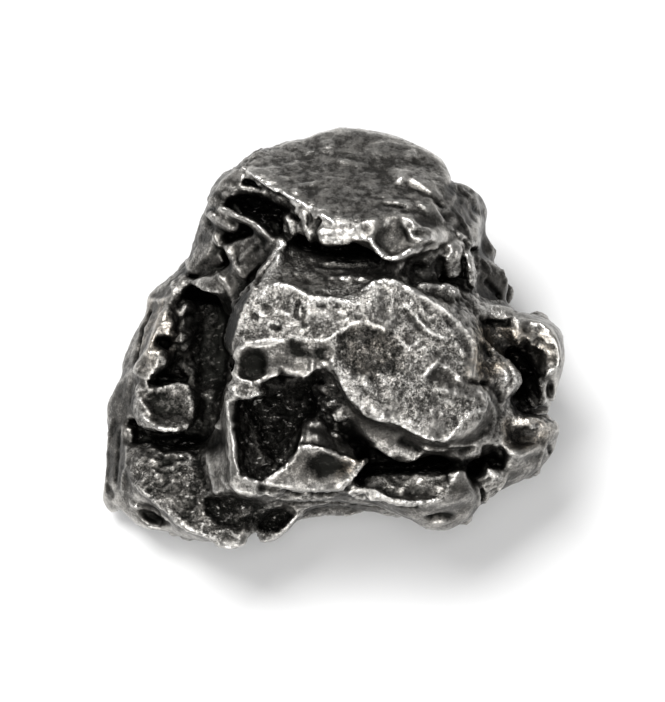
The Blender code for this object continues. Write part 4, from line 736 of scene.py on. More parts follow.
def face_marks():
    """The broad pitted face: its rims, its sunk middle, its pits and the matt skirt below it."""
    return [
        # The whole face, then its rims: upper left, upper right, right and left.
        Patch(0, 0.35, (236, 340), (248, 302), (262, 288), (300, 290), (350, 300), (385, 280), (412, 288),
              (450, 312), (474, 340), (478, 376), (486, 392), (482, 412), (450, 438), (430, 440),
              (385, 420), (360, 405), (342, 378), (336, 352), (292, 340), shine=0.08),
        Line(0.30, 0.24, (262, 294), (268, 287), (278, 284), (288, 286), (298, 290), (308, 297),
             (320, 298), (338, 300), (350, 302), shine=0.8),
        Line(0.28, 0.24, (366, 288), (375, 283), (385, 280), (395, 281), (403, 285), (411, 290),
             shine=0.8),
        Line(0.22, 0.30, (411, 290), (425, 297), (440, 306), (455, 318), (468, 332), (475, 345),
             (475, 360), (472, 375), shine=0.35),
        Line(0.22, 0.14, (256, 288), (248, 299), (244, 309), (238, 328), (233, 345), (229, 365),
             (228, 380), shine=0.6),
        # Slits and pits in its left half, and their edges.
        Line(-0.5, 0.14, (299, 302), (297, 308), (296, 314), (299, 319), shine=-0.9),
        Line(-0.4, 0.14, (303, 307), (304, 313), (302, 320), (305, 326), shine=-0.8),
        Line(0.10, 0.18, (300, 308), (300, 314), shine=0.2),
        Line(-0.3, 0.20, (264, 304), (269, 310), shine=-0.4),
        Line(-0.3, 0.24, (253, 314), (257, 318), shine=-0.4),
        Line(0.2, 0.16, (252, 314), (256, 311), (261, 315), shine=0.5),
        Line(-0.5, 0.24, (273, 327), (278, 329), shine=-0.6),
        Line(0.2, 0.16, (268, 326), (271, 323), (277, 324), shine=0.5),
        Line(-0.35, 0.20, (240, 335), (244, 331), (247, 336), shine=-0.6),
        Line(0.2, 0.2, (276, 312), (284, 312), (290, 315), shine=0.4),
        Line(-0.3, 0.16, (318, 305), (324, 308), shine=-0.4),
        Line(-0.3, 0.14, (336, 306), (338, 308), shine=-0.5),
        # The rim above its sunk middle, and the middle.
        Line(0.26, 0.18, (290, 337), (300, 338), (312, 340), (325, 341), (332, 337), (338, 332),
             (346, 329), (352, 324), (360, 322), (370, 323), (380, 327), (386, 328), shine=0.75),
        Patch(-0.22, 0.5, (338, 338), (352, 327), (370, 327), (392, 334), (402, 350), (398, 372),
              (372, 374), (352, 372), (340, 360), shine=-0.16),
        Line(0.2, 0.16, (320, 363), (326, 364), (331, 361), shine=0.6),
        # Rims, ridges and pits in its right half.
        Line(0.22, 0.16, (405, 304), (410, 309), (415, 316), (418, 320), shine=0.9),
        Line(0.22, 0.18, (418, 318), (424, 326), (431, 332), (440, 336), (447, 338), shine=0.5),
        Line(-0.16, 0.20, (410, 316), (416, 324), (422, 332), (430, 337), (440, 341), shine=-0.35),
        Line(0.14, 0.14, (420, 308), (424, 315), (431, 318), (437, 315), shine=0.3),
        Line(-0.25, 0.26, (425, 303), (428, 308), shine=-0.25),
        Line(-0.22, 0.30, (446, 318), (450, 324), shine=-0.25),
        Line(0.18, 0.18, (400, 338), (403, 344), (409, 347), (415, 345), (420, 340), shine=0.45),
        Line(-0.22, 0.28, (408, 338), (412, 340), shine=-0.2),
        Line(0.16, 0.20, (366, 384), (366, 376), (371, 372), (378, 372), (384, 376), (385, 382),
             shine=0.4),
        Line(-0.24, 0.26, (372, 378), (378, 382), shine=-0.25),
        Line(0.20, 0.2, (456, 344), (461, 349), (464, 354), shine=0.5),
        Line(0.24, 0.24, (425, 376), (431, 369), (438, 363), (445, 366), (452, 371), (459, 378),
             (463, 384), shine=0.65),
        Patch(-0.12, 0.5, (432, 374), (445, 370), (456, 378), (456, 386), (440, 386), (432, 382),
              shine=-0.1),
        Line(0.16, 0.24, (430, 391), (445, 390), (462, 394), (470, 398), shine=0.4),
        Line(0.12, 0.3, (436, 398), (450, 402), (456, 406), shine=0.3),
        # Its lower edge, from left to right.
        Line(0.32, 0.22, (340, 374), (343, 384), (350, 397), (358, 407), (366, 415), (375, 418),
             (385, 417), shine=0.8),
        Line(0.30, 0.20, (380, 420), (394, 421), (404, 426), (414, 431), (424, 436), (434, 440),
             (446, 440), shine=0.8),
        Line(0.30, 0.24, (446, 440), (452, 434), (458, 428), (462, 421), (468, 414), (476, 411),
             (482, 410), shine=0.8),
        Line(0.26, 0.26, (480, 388), (484, 395), (486, 403), (484, 411), shine=0.5),
        Line(0.22, 0.24, (486, 392), (492, 404), (495, 416), (493, 428), (488, 440), shine=0.3),
        # The matt skirt, with its rims and the notches in it.
        Patch(0, 0.3, (344, 398), (362, 418), (385, 426), (430, 446), (450, 446), (480, 418), (496, 408),
              (498, 430), (480, 452), (452, 462), (400, 464), (375, 444), (352, 436), shine=0.05),
        Line(0.26, 0.22, (360, 441), (370, 446), (380, 448), (388, 454), (396, 460), (405, 462),
             (414, 460), (421, 453), shine=0.5),
        Line(0.24, 0.18, (421, 448), (432, 450), (445, 450), shine=0.5),
        Line(-0.5, 0.30, (403, 441), (412, 446), (420, 450), shine=-0.7),
        Line(-0.25, 0.32, (462, 451), (470, 449), shine=-0.6),
        Line(0.24, 0.22, (450, 446), (464, 445), (478, 444), (486, 436), shine=0.35),
        Line(-0.6, 0.20, (471, 381), (480, 383), (489, 382), shine=-0.9),
    ]


def lip_marks():
    """The curled lip at the face's lower left, scooped smooth inside."""
    return [
        # The scoop and the two pits at its right, painted dark as shade.
        Patch(0, 0.7, (237, 364), (250, 355), (262, 357), (262, 371), (248, 376), shine=-0.5),
        Patch(0, 0.8, (262, 354), (284, 350), (308, 362), (300, 374), (266, 374), shine=-0.12),
        Patch(-0.20, 0.8, (290, 340), (300, 342), (310, 350), (304, 357), (293, 354), shine=-0.8),
        Patch(-0.20, 0.8, (310, 352), (321, 347), (332, 352), (329, 362), (316, 360), shine=-0.8),
        # The rims round it.
        Line(0.30, 0.24, (231, 360), (238, 350), (248, 344), (260, 341), (272, 340), (286, 341),
             shine=0.7),
        Line(0.26, 0.18, (255, 347), (266, 345), (276, 343), shine=0.35),
        Line(0.12, 0.30, (290, 356), (296, 360), (304, 360), shine=0.3),
        Line(0.26, 0.24, (313, 362), (313, 369), (308, 375), (300, 378), (288, 379), shine=0.6),
        Line(0.30, 0.22, (231, 372), (236, 377), (243, 380), (252, 383), shine=0.8),
        Line(0.28, 0.22, (259, 381), (267, 379), (275, 376), (279, 373), shine=0.6),
        Line(0.40, 0.30, (228, 376), (230, 386), (236, 393), (244, 397), (253, 396), (260, 392),
             shine=0.3),
        Line(-0.45, 0.22, (281, 371), (283, 378), shine=-0.7),
    ]


def hollow_marks():
    """The deep hollow below the lip: its left wall, its floor and the rubble at its right."""
    return [
        # The hollow, sunk and painted dark as shade.
        Patch(-0.9, 0.5, (246, 402), (270, 394), (300, 384), (316, 380), (314, 412), (300, 426),
              (278, 458), (266, 455), (258, 430), shine=-0.4),
        # Its left wall and lower edge.
        Line(0.30, 0.22, (228, 402), (229, 418), (231, 432), (233, 446), (235, 460), (238, 471),
             shine=0.5),
        Line(0.24, 0.16, (234, 433), (235, 445), (237, 458), shine=0.8),
        Line(-0.4, 0.2, (238, 436), (240, 450), (242, 464), shine=-0.8),
        Line(0.24, 0.22, (232, 424), (240, 425), (247, 429), shine=0.7),
        Line(0.12, 0.24, (244, 474), (250, 479), (257, 480), shine=0.9),
        Line(0.16, 0.40, (232, 484), (238, 491), (250, 492), (268, 489), shine=0.25),
        # Painted glints on its floor: small raised grains with painted highlights.
        Line(0.16, 0.12, (258, 402), (262, 406), (267, 409), shine=0.6),
        Line(0.16, 0.12, (243, 413), (250, 415), (254, 417), shine=0.6),
        Line(0.16, 0.12, (296, 395), (302, 402), (307, 407), shine=0.6),
        Line(0.14, 0.12, (269, 410), (274, 413), shine=0.6),
        Line(0.14, 0.12, (275, 405), (281, 411), shine=0.9),
        Line(0.14, 0.12, (284, 398), (289, 405), (293, 408), shine=0.9),
        Line(0.14, 0.12, (262, 398), (266, 402), shine=0.9),
        Line(0.12, 0.3, (246, 440), (256, 446), (262, 455), shine=0.5),
        Line(0.12, 0.24, (246, 450), (250, 458), shine=0.5),
        # The rubble at its right.
        Line(0.60, 0.40, (313, 388), (318, 386), (324, 388), shine=0.8),
        Line(0.60, 0.45, (320, 402), (327, 401), (334, 403), (326, 407), shine=0.7),
        Line(0.50, 0.35, (328, 412), (329, 417), shine=0.9),
        Line(0.60, 0.40, (337, 414), (342, 419), (345, 423), (340, 426), shine=0.6),
        Line(-0.4, 0.26, (316, 393), (322, 396), (330, 398), shine=-0.7),
    ]


def tooth_block_marks():
    """The big tooth below the hollow, its arm and the layers under it, painted dark as shade."""
    return [
        # Its front, its foot and its upper edge.
        Patch(0, 1.0, (302, 453), (325, 450), (346, 458), (351, 470), (332, 482), (306, 480), (296, 468),
              shine=-0.28),
        Patch(0, 0.7, (262, 480), (284, 468), (300, 476), (318, 484), (340, 480), (352, 468), (366, 459),
              (361, 474), (347, 491), (310, 493), (270, 488), shine=0.12),
        Line(0.30, 0.22, (302, 447), (312, 446), (322, 449), (334, 453), (346, 458), (354, 462),
             shine=0.8),
        Line(0.28, 0.28, (354, 462), (360, 462), (366, 460), shine=0.7),
        # The arm above it.
        Patch(0, 0.2, (304, 425), (309, 419), (319, 419), (320, 428), (316, 440), (314, 448), (301, 448),
              (302, 437), shine=0.3),
        Patch(0, 0.3, (322, 421), (330, 428), (343, 442), (352, 458), (338, 453), (322, 446), shine=0.35),
        Line(0.16, 0.24, (309, 428), (309, 438), (310, 446), shine=0.8),
        # Its left edge, its foot again and its right edge.
        Line(0.26, 0.20, (304, 428), (302, 440), (299, 450), (294, 460), (286, 468), (276, 474),
             (266, 478), shine=0.5),
        Line(0.24, 0.30, (312, 424), (320, 423), shine=0.6),
        Patch(0, 0.3, (264, 480), (290, 468), (304, 476), (325, 484), (345, 478), (362, 466), (352, 482),
              (340, 492), (300, 490), shine=0.12),
        Line(0.2, 0.2, (357, 474), (350, 481), (344, 489), shine=0.4),
        Line(-0.2, 0.2, (334, 434), (340, 440), (346, 444), shine=-0.3),
        Line(0.14, 0.12, (332, 432), (338, 436), (343, 437), shine=0.4),
        # The layers under it, painted dark as shade.
        Line(-0.8, 0.3, (262, 488), (280, 492), (300, 494), (330, 494), (346, 490), shine=-0.8),
        Line(-0.5, 0.22, (290, 504), (320, 503), (350, 504), (380, 508), shine=-0.7),
        Line(0.22, 0.24, (270, 497), (300, 499), (330, 498), shine=0.1),
        Line(0.30, 0.30, (346, 492), (358, 497), (372, 500), shine=0.5),
    ]


def lower_ledge_marks():
    """The rough ledge at the lower right, its front rim with a painted highlight and its smooth nose with
    one pit.
    """
    return [
        # The slot over it, painted black as shade, its skin and its front rim with a painted highlight.
        Patch(-0.6, 0.35, (366, 464), (420, 466), (460, 460), (492, 454), (498, 460), (470, 466),
              (450, 470), (400, 472), (362, 472), shine=-0.7),
        Patch(0, 0.3, (366, 480), (400, 478), (440, 478), (452, 500), (420, 500), (385, 497),
              shine=-0.05),
        Line(0.28, 0.2, (355, 488), (366, 489), (376, 491), (386, 497), (396, 501), (410, 502),
             (424, 502), (440, 500), shine=1.0),
        Line(-0.35, 0.2, (400, 507), (412, 508), (426, 507), shine=-0.5),
        # The nose and its pit.
        Patch(0, 0.3, (384, 505), (420, 512), (455, 508), (478, 500), (480, 512), (465, 524), (440, 532),
              (425, 524), (400, 518), shine=0.04),
        Line(-0.22, 0.34, (428, 517), (438, 514), (450, 516), shine=-0.55),
        Line(0.18, 0.3, (436, 523), (446, 522), shine=0.15),
        # The rubble at its right end.
        Line(0.30, 0.40, (452, 478), (457, 473), (463, 473), shine=0.6),
        Line(0.24, 0.2, (429, 479), (440, 478), (449, 475), shine=0.8),
        Line(0.24, 0.22, (476, 486), (480, 495), (480, 504), shine=0.35),
        Line(-0.7, 0.24, (482, 490), (484, 500), shine=-0.9),
    ]


def right_marks():
    """The right side: roof band, hanging blob, panels, hollow painted black as shade, cheek, knob, column
    and blocks.
    """
    return [
        # The roof band and the block at its left.
        Line(0.22, 0.16, (470, 288), (478, 296), (490, 300), (502, 302), shine=0.45),
        Line(0.20, 0.16, (510, 318), (522, 320), (537, 322), (548, 330), shine=0.6),
        Patch(0, 0.25, (478, 304), (498, 302), (500, 316), (490, 318), (478, 310), shine=0.35),
        # The outline goes down to where the photograph has it.
        Shift(0, -11, 0.5, (516, 292), (554, 292), (552, 312), (516, 308)),
        # The slot under the band, painted black as shade, the striped panel and its edges with painted
        # highlights.
        Patch(-0.7, 0.22, (478, 319), (496, 321), (511, 321), (509, 325), (492, 326), (482, 323),
              shine=-0.7),
        Patch(0, 0.2, (490, 328), (514, 328), (516, 344), (496, 344), shine=-0.05),
        Line(0.24, 0.18, (517, 324), (520, 332), (518, 344), shine=0.6),
        Line(0.24, 0.18, (505, 345), (511, 345), (517, 343), shine=0.6),
        Line(0.24, 0.20, (540, 324), (545, 328), (550, 333), shine=0.6),
        Line(0.2, 0.22, (544, 334), (549, 336), shine=0.8),
        # The outer rim.
        Line(0.28, 0.22, (548, 330), (555, 338), (559, 350), (559, 362), (555, 370), (548, 375),
             (540, 377), shine=0.5),
        Line(0.26, 0.26, (538, 371), (544, 371), (550, 369), shine=0.8),
        # The hollow, painted black as shade, and the column at its right.
        Patch(-0.5, 0.35, (508, 350), (524, 350), (532, 360), (536, 374), (536, 384), (528, 396),
              (518, 402), (510, 398), (518, 388), (520, 374), (512, 362), shine=-0.4),
        Patch(0, 0.3, (549, 378), (564, 380), (560, 400), (550, 416), (544, 404), shine=0.2),
        # The gap, painted dark as shade, and its lip with a painted highlight at the left, the knob and the
        # curled rims below it.
        Line(0.28, 0.18, (480, 339), (487, 342), (491, 347), (496, 354), shine=0.9),
        Patch(-0.6, 0.2, (481, 343), (487, 346), (493, 354), (490, 357), (483, 352), shine=-0.8),
        Line(0.34, 0.32, (503, 369), (506, 375), (506, 380), shine=0.9),
        Line(0.22, 0.18, (500, 355), (508, 361), (513, 370), (516, 380), (513, 388), (507, 396),
             (502, 404), shine=0.45),
        Line(0.20, 0.16, (518, 372), (523, 378), (523, 386), (519, 393), shine=0.4),
        Line(-0.4, 0.26, (492, 386), (498, 392), (500, 400), shine=-0.5),
        # The curved lip at the foot, and the rubble over it.
        Line(0.20, 0.40, (500, 436), (504, 445), (508, 452), (519, 454), (530, 450), (536, 446),
             shine=0.25),
        Patch(-0.1, 0.4, (506, 430), (528, 434), (532, 442), (520, 447), (509, 443), shine=0.1),
        Line(0.3, 0.36, (515, 424), (524, 420), (536, 420), shine=0.7),
        Line(0.26, 0.3, (543, 425), (548, 428), shine=0.5),
        # Rubble in the hollow and inside the outer rim.
        Line(0.8, 0.4, (514, 400), (520, 398), (524, 403), shine=0.7),
        Line(0.7, 0.3, (530, 396), (534, 404), shine=0.6),
        Line(0.5, 0.3, (540, 380), (542, 392), (541, 402), shine=0.7),
        Line(0.3, 0.3, (524, 334), (532, 338), (530, 348), shine=0.4),
        Line(0.3, 0.3, (538, 346), (548, 352), shine=0.4),
        # The strut at the lower right and the face at its left.
        Line(0.20, 0.16, (546, 442), (542, 455), (538, 468), shine=0.4),
        Line(-0.4, 0.24, (549, 446), (551, 453), shine=-0.6),
        Patch(0, 0.3, (512, 452), (538, 452), (536, 470), (516, 478), shine=0.15),
        # The wall and the block left of them.
        Line(0.3, 0.3, (486, 448), (488, 458), (487, 466), shine=0.3),
        Line(0.3, 0.3, (496, 446), (500, 456), (498, 466), shine=0.4),
        Line(0.28, 0.24, (482, 478), (487, 476), shine=0.9),
        Line(0.26, 0.22, (488, 470), (494, 472), (499, 477), shine=0.8),
        Line(0.22, 0.2, (506, 474), (504, 482), (500, 490), shine=0.4),
    ]


def upper_left_marks():
    """The brow, cave, rib, pitted skin, tongue, shelf and fang at the upper left."""
    return [
        # The brow.
        Line(0.26, 0.20, (221, 188), (227, 186), (234, 189), shine=0.8),
        Line(0.22, 0.18, (223, 194), (228, 192), (232, 194), shine=0.6),
        Line(0.24, 0.22, (240, 187), (250, 190), (262, 191), shine=0.4),
        Line(-0.35, 0.22, (245, 183), (254, 184), (262, 188), shine=-0.5),
        # The cave under it, painted dark as shade, and the rib below the cave with a painted highlight.
        Patch(-0.7, 0.35, (238, 199), (262, 196), (283, 208), (284, 224), (288, 238), (276, 236),
              (262, 224), (244, 212), shine=-0.4),
        Line(0.32, 0.24, (220, 209), (228, 210), (235, 215), (243, 218), (250, 221), (257, 225),
             (262, 230), (268, 235), (273, 239), shine=0.8),
        # The pitted skin left of the rib.
        Line(0.30, 0.36, (212, 214), (222, 222), (234, 229), shine=0.45),
        Line(-0.35, 0.2, (232, 224), (236, 227), shine=-0.5),
        Line(-0.3, 0.26, (208, 220), (213, 228), shine=-0.4),
        Line(0.24, 0.3, (210, 232), (216, 240), (220, 246), shine=0.4),
        Line(0.22, 0.24, (212, 247), (204, 256), (197, 264), shine=0.4),
        # The slit, painted black as shade, the tongue below it and its rims.
        Patch(-0.6, 0.25, (226, 232), (240, 230), (254, 228), (256, 233), (244, 236), (228, 243),
              shine=-0.4),
        Line(0.26, 0.20, (224, 248), (230, 254), (235, 262), (239, 272), (245, 278), shine=0.5),
        Line(0.24, 0.22, (240, 260), (247, 251), (256, 242), shine=0.45),
        Line(0.22, 0.24, (258, 240), (262, 246), (262, 254), shine=0.3),
        # The shelf above the valley and the fang that hangs at its right.
        Line(0.28, 0.22, (191, 282), (197, 285), (203, 288), (212, 291), (222, 292), shine=0.6),
        Patch(0, 0.25, (194, 272), (208, 268), (214, 280), (200, 284), shine=0.3),
        Line(0.22, 0.2, (216, 270), (222, 280), (229, 288), shine=0.4),
        Line(0.30, 0.34, (230, 294), (234, 304), (238, 314), shine=0.5),
        Line(0.2, 0.26, (204, 198), (214, 200), (222, 206), shine=0.1),
    ]


def left_marks():
    """The left flank: nub, stacked plates, the valley painted dark as shade, the apron, its hem, the heel
    and the toe.
    """
    return [
        # The valley, and the nubs at its upper edge.
        Patch(-1.4, 0.9, (200, 298), (230, 296), (234, 330), (228, 384), (202, 388), (192, 356),
              (194, 322), shine=-0.25),
        Line(0.5, 0.5, (181, 314), (186, 307), (192, 307), shine=0.35),
        Line(0.4, 0.4, (171, 322), (168, 330), shine=0.3),
        # The outer crest and the plates stacked inside it.
        Line(0.26, 0.22, (150, 300), (158, 301), (168, 299), shine=0.5),
        Line(0.24, 0.22, (172, 282), (174, 292), (172, 300), shine=0.4),
        Line(0.28, 0.30, (168, 310), (158, 325), (152, 345), (143, 358), (134, 372), shine=0.4),
        Line(-0.4, 0.3, (150, 312), (142, 328), (139, 345), (136, 360), shine=-0.6),
        Line(0.28, 0.32, (162, 325), (170, 324), shine=0.3),
        Line(0.26, 0.26, (168, 334), (174, 334), shine=0.7),
        Line(-0.3, 0.5, (158, 341), (166, 343), shine=-0.8),
        Line(0.24, 0.26, (181, 336), (183, 350), shine=0.35),
        Line(0.22, 0.22, (195, 352), (200, 352), shine=0.5),
        Line(0.28, 0.26, (148, 354), (160, 351), (172, 355), shine=0.45),
        Line(0.26, 0.22, (138, 374), (146, 378), (156, 379), shine=0.5),
        # The shelf, from the gap over it, painted black as shade, to its double rim with painted
        # highlights.
        Line(-0.7, 0.34, (152, 381), (166, 379), (184, 378), shine=-0.9),
        Line(0.24, 0.2, (135, 384), (137, 395), (144, 405), (150, 414), shine=0.35),
        Line(0.28, 0.26, (150, 392), (164, 388), (176, 384), (188, 386), shine=0.6),
        Patch(-0.6, 0.9, (146, 392), (186, 390), (190, 420), (150, 422), shine=-0.22),
        Line(0.34, 0.32, (140, 411), (146, 420), (156, 427), (168, 430), (182, 429), (192, 424),
             shine=0.75),
        Line(0.26, 0.28, (136, 428), (150, 434), (165, 436), (178, 434), shine=0.45),
        # The slot under the shelf, painted black as shade, and grains of the apron.
        Line(-0.6, 0.34, (152, 442), (172, 444), (196, 441), shine=-0.8),
        Patch(-0.8, 0.5, (152, 439), (196, 438), (222, 430), (226, 446), (200, 452), (180, 449),
              (156, 447), shine=-0.6),
        Line(-0.3, 0.30, (196, 452), (199, 470), (206, 490), shine=-0.6),
        Line(0.3, 0.25, (160, 452), (166, 457), shine=0.4),
        Line(0.3, 0.30, (186, 452), (192, 458), (190, 466), shine=0.35),
        Line(0.25, 0.25, (152, 470), (158, 476), shine=0.35),
        # Folds of the outer hem.
        Line(0.2, 0.30, (112, 420), (108, 440), (106, 470), (104, 488), shine=0.35),
        Line(-0.2, 0.30, (120, 430), (118, 455), (116, 480), shine=-0.45),
        Line(0.2, 0.25, (128, 446), (124, 470), (122, 490), shine=0.35),
        # The hollow at the apron's right foot.
        Patch(-0.9, 0.5, (204, 499), (232, 494), (256, 499), (262, 506), (254, 520), (240, 529),
              (222, 526), (210, 513), shine=-0.35),
        # Nubs on the pillar and in the valley, and more grains of the apron.
        Line(0.24, 0.3, (207, 387), (214, 388), shine=0.35),
        Line(0.22, 0.26, (197, 391), (204, 393), shine=0.3),
        Line(0.22, 0.26, (212, 424), (219, 429), shine=0.35),
        Line(0.20, 0.22, (200, 412), (201, 420), (202, 428), shine=0.2),
        Line(0.24, 0.34, (172, 454), (182, 455), shine=0.45),
        Line(0.22, 0.30, (178, 463), (186, 463), shine=0.35),
        Line(0.22, 0.28, (166, 468), (174, 468), shine=0.3),
        Line(0.22, 0.30, (147, 459), (157, 461), shine=0.35),
        # The apron's hem, with a painted highlight.
        Line(0.30, 0.22, (133, 483), (140, 490), (150, 497), (160, 506), (168, 511), (172, 517),
             (178, 523), (186, 528), (195, 532), (205, 535), (215, 538), shine=0.8),
        # The pillar, its foot, and the heel and toe under the hem.
        Line(0.30, 0.55, (207, 446), (210, 468), (215, 490), shine=0.3),
        Line(0.20, 0.24, (222, 480), (228, 488), shine=0.5),
        Line(0.20, 0.22, (203, 489), (213, 496), shine=0.45),
        Line(0.26, 0.26, (131, 503), (140, 508), (155, 510), (167, 519), shine=0.4),
        Line(-0.35, 0.36, (142, 513), (152, 517), (160, 521), shine=-0.6),
        Line(-0.25, 0.45, (107, 487), (112, 496), shine=-0.45),
        Line(0.28, 0.34, (218, 545), (230, 547), (244, 543), shine=0.4),
        Patch(-0.5, 0.35, (256, 514), (272, 510), (290, 514), (284, 526), (268, 532), (256, 526),
              shine=-0.6),
        Line(0.28, 0.22, (262, 541), (275, 537), (285, 528), (292, 520), (298, 513), shine=0.5),
    ]


def facets():
    """The faces that the solid leaves plain: brow, teeth, hook, pillars, tooth block and steps."""
    return [
        # Brow.
        Facet(0.35, (206, 210, -3.0), (212, 194, -1.5), (222, 180, -0.5), (234, 170, 0.3),
              (244, 167, 1.2), (244, 180, 1.3), (240, 188, 0.9), (238, 197, 0.3), (226, 199, 0.0),
              (218, 206, -0.3)),
        # Step under the brow.
        Facet(0.20, (240, 184, 0.9), (254, 185, 1.4), (264, 190, 1.6), (264, 196, 1.0), (250, 194, 0.7),
              (240, 193, 0.7)),
        # Crown's chamfered front edge.
        Facet(0.20, (256, 185, 1.6), (268, 190, 2.1), (280, 196, 2.8), (297, 205, 3.7), (298, 214, 3.0),
              (284, 208, 2.0), (268, 199, 1.2), (256, 194, 0.9)),
        # Left tooth.
        Facet(0.15, (283, 214, 2.9), (290, 213, 3.4), (297, 222, 3.9), (297, 233, 3.7), (292, 239, 3.4),
              (286, 232, 3.0)),
        # Middle tooth.
        Facet(0.15, (299, 207, 4.8), (306, 206, 5.3), (318, 214, 5.7), (319, 230, 5.4), (312, 242, 4.9),
              (305, 235, 4.8), (299, 224, 4.5)),
        # Crown's front edge right of the teeth.
        Facet(0.15, (318, 229, 6.4), (352, 229, 6.8), (356, 238, 6.7), (350, 245, 6.3), (322, 246, 6.1),
              (317, 238, 6.1)),
        # Pitted skin under the brow.
        Facet(0.25, (206, 214, -1.6), (212, 212, -0.6), (226, 220, 0.2), (238, 222, 0.9), (241, 230, 0.7),
              (230, 233, 0.2), (218, 226, -0.6)),
        # Tongue.
        Facet(0.20, (224, 246, -0.6), (232, 262, 0.1), (240, 276, 0.8), (247, 279, 1.0), (247, 268, 1.1),
              (254, 256, 1.7), (268, 241, 2.7), (258, 233, 2.3), (246, 237, 1.2), (232, 243, 0.2)),
        # Thin rib.
        Facet(0.12, (277, 238, 3.6), (287, 239, 3.7), (286, 246, 3.8), (283, 252, 3.9), (276, 257, 4.2),
              (266, 272, 4.8), (258, 288, 5.6), (253, 288, 5.4), (258, 272, 4.6), (270, 256, 3.9),
              (278, 248, 3.5)),
        # Hook's inner face.
        Facet(0.90, (378, 234, 6.4), (394, 228, 6.2), (406, 238, 6.2), (402, 250, 6.5), (390, 254, 6.6),
              (380, 246, 6.5)),
        # Ring boss.
        Facet(0.25, (402, 218, 7.0), (412, 219, 7.1), (420, 230, 6.8), (432, 232, 6.5), (434, 242, 6.2),
              (420, 244, 6.6), (408, 236, 6.9)),
        # Recess under the shoulder.
        Facet(0.20, (408, 258, 4.9), (428, 252, 4.6), (446, 250, 4.2), (444, 262, 3.4), (436, 284, 3.2),
              (412, 286, 4.2), (404, 272, 4.8)),
        # Left pocket of the recess.
        Facet(0.70, (410, 266, 3.7), (426, 264, 3.3), (428, 278, 3.4), (414, 282, 3.9)),
        # Right pocket of the recess.
        Facet(0.50, (432, 262, 3.0), (442, 260, 2.7), (443, 276, 2.7), (433, 280, 2.9)),
        # Far side of the shoulder.
        Facet(0.25, (439, 188, 1.6), (458, 183, -2.0), (474, 186, -4.2), (480, 210, -4.6),
              (479, 248, -2.2), (470, 246, 2.2), (459, 237, 2.9), (449, 225, 3.3), (440, 210, 3.6),
              (436, 198, 2.9)),
        # Slope left of the tongue.
        Facet(0.40, (186, 262, -5.5), (212, 246, -3.2), (222, 252, -3.0), (226, 262, -2.5),
              (216, 272, -3.5), (200, 276, -4.5), (188, 276, -5.5)),
        # Pillar left in the recess.
        Facet(0.15, (444, 250, 3.8), (452, 245, 4.0), (460, 247, 3.8), (462, 276, 2.6), (446, 279, 2.9)),
        # Pillar right in the recess.
        Facet(0.15, (465, 252, 3.0), (472, 258, 2.8), (475, 290, 1.9), (468, 286, 2.2)),
        # Foot of the recess.
        Facet(0.20, (416, 286, 6.0), (432, 284, 5.4), (455, 286, 4.4), (460, 297, 4.6), (440, 298, 5.6),
              (424, 292, 6.4)),
        # Hollow's left rim.
        Facet(0.15, (228, 436, 5.8), (235, 434, 6.2), (236, 452, 6.3), (236, 464, 6.3), (241, 474, 6.3),
              (250, 479, 6.2), (262, 481, 6.1), (286, 486, 6.0), (286, 492, 5.8), (266, 495, 5.7),
              (250, 497, 5.7), (238, 495, 5.8), (231, 486, 5.9), (228, 462, 5.9)),
        # Arm above the tooth block.
        Facet(0.20, (316, 418, 4.6), (317, 438, 6.3), (314, 448, 7.0), (328, 452, 6.9), (345, 459, 6.8),
              (358, 463, 6.6), (353, 450, 4.9), (343, 439, 4.5), (332, 427, 4.3)),
        # Arm's left part.
        Facet(0.15, (303, 425, 5.0), (309, 419, 4.7), (320, 418, 4.6), (323, 424, 5.0), (318, 438, 6.4),
              (316, 453, 7.3), (298, 453, 7.1), (302, 437, 6.3)),
        # Tooth block.
        Facet(0.14, (300, 447, 7.2), (312, 446, 7.3), (325, 449, 7.2), (340, 456, 7.1), (352, 461, 7.0),
              (358, 464, 6.9), (367, 458, 7.2), (363, 467, 6.9), (357, 474, 6.6), (348, 480, 6.4),
              (345, 487, 6.0), (338, 491, 5.8), (300, 491, 5.8), (280, 487, 5.8), (262, 481, 5.8),
              (275, 474, 6.1), (285, 466, 6.4), (295, 454, 6.8)),
        # Tooth block's sunk front.
        Facet(0.8, (312, 460, 6.4), (326, 456, 6.4), (344, 464, 6.4), (340, 472, 6.1), (322, 478, 5.9),
              (310, 470, 6.2)),
        # Panel inside the right side's outer rim.
        Facet(0.30, (520, 345, 0.0), (534, 340, 0.3), (548, 340, 0.8), (556, 350, 0.4), (555, 366, 0.3),
              (546, 373, 0.2), (536, 368, -1.2), (528, 357, -2.2), (519, 350, -2.8)),
        # Back wall of the right hollow.
        Facet(0.25, (524, 377, -4.6), (536, 376, -3.0), (547, 380, -2.6), (547, 404, -3.4),
              (536, 406, -4.0), (524, 400, -5.4)),
        # Block at the lower right.
        Facet(0.30, (484, 448, 1.2), (496, 446, 1.0), (504, 452, 0.5), (502, 467, -1.2), (490, 467, -1.2),
              (482, 459, -1.2)),
        # Lower ledge.
        Facet(0.25, (360, 477, 3.7), (400, 473, 3.1), (440, 471, 3.2), (450, 480, 4.1), (444, 492, 4.2),
              (400, 497, 4.3), (372, 491, 4.4)),
        # Step on the left flank.
        Facet(0.25, (121, 428, -7.0), (133, 427, -6.4), (135, 436, -6.4), (134, 446, -6.0),
              (124, 444, -6.6)),
        # Lip's scoop.
        Facet(0.9, (238, 364, 6.4), (250, 354, 6.8), (262, 356, 6.9), (262, 372, 6.5), (246, 376, 6.4)),
    ]


def every_mark():
    """The marks of all regions, in the order in which they are worked in."""
    regions = (
        crown_marks, tooth_marks, hook_marks, shoulder_marks, neck_marks, face_marks, lip_marks,
        hollow_marks, tooth_block_marks, lower_ledge_marks, right_marks, upper_left_marks, left_marks,
    )
    return [mark for region in regions for mark in region()]


def carve(piece, marks):
    """Works some marks into the skin."""
    skin = Skin(piece)
    for mark in marks:
        mark.carve(skin)
    skin.write()


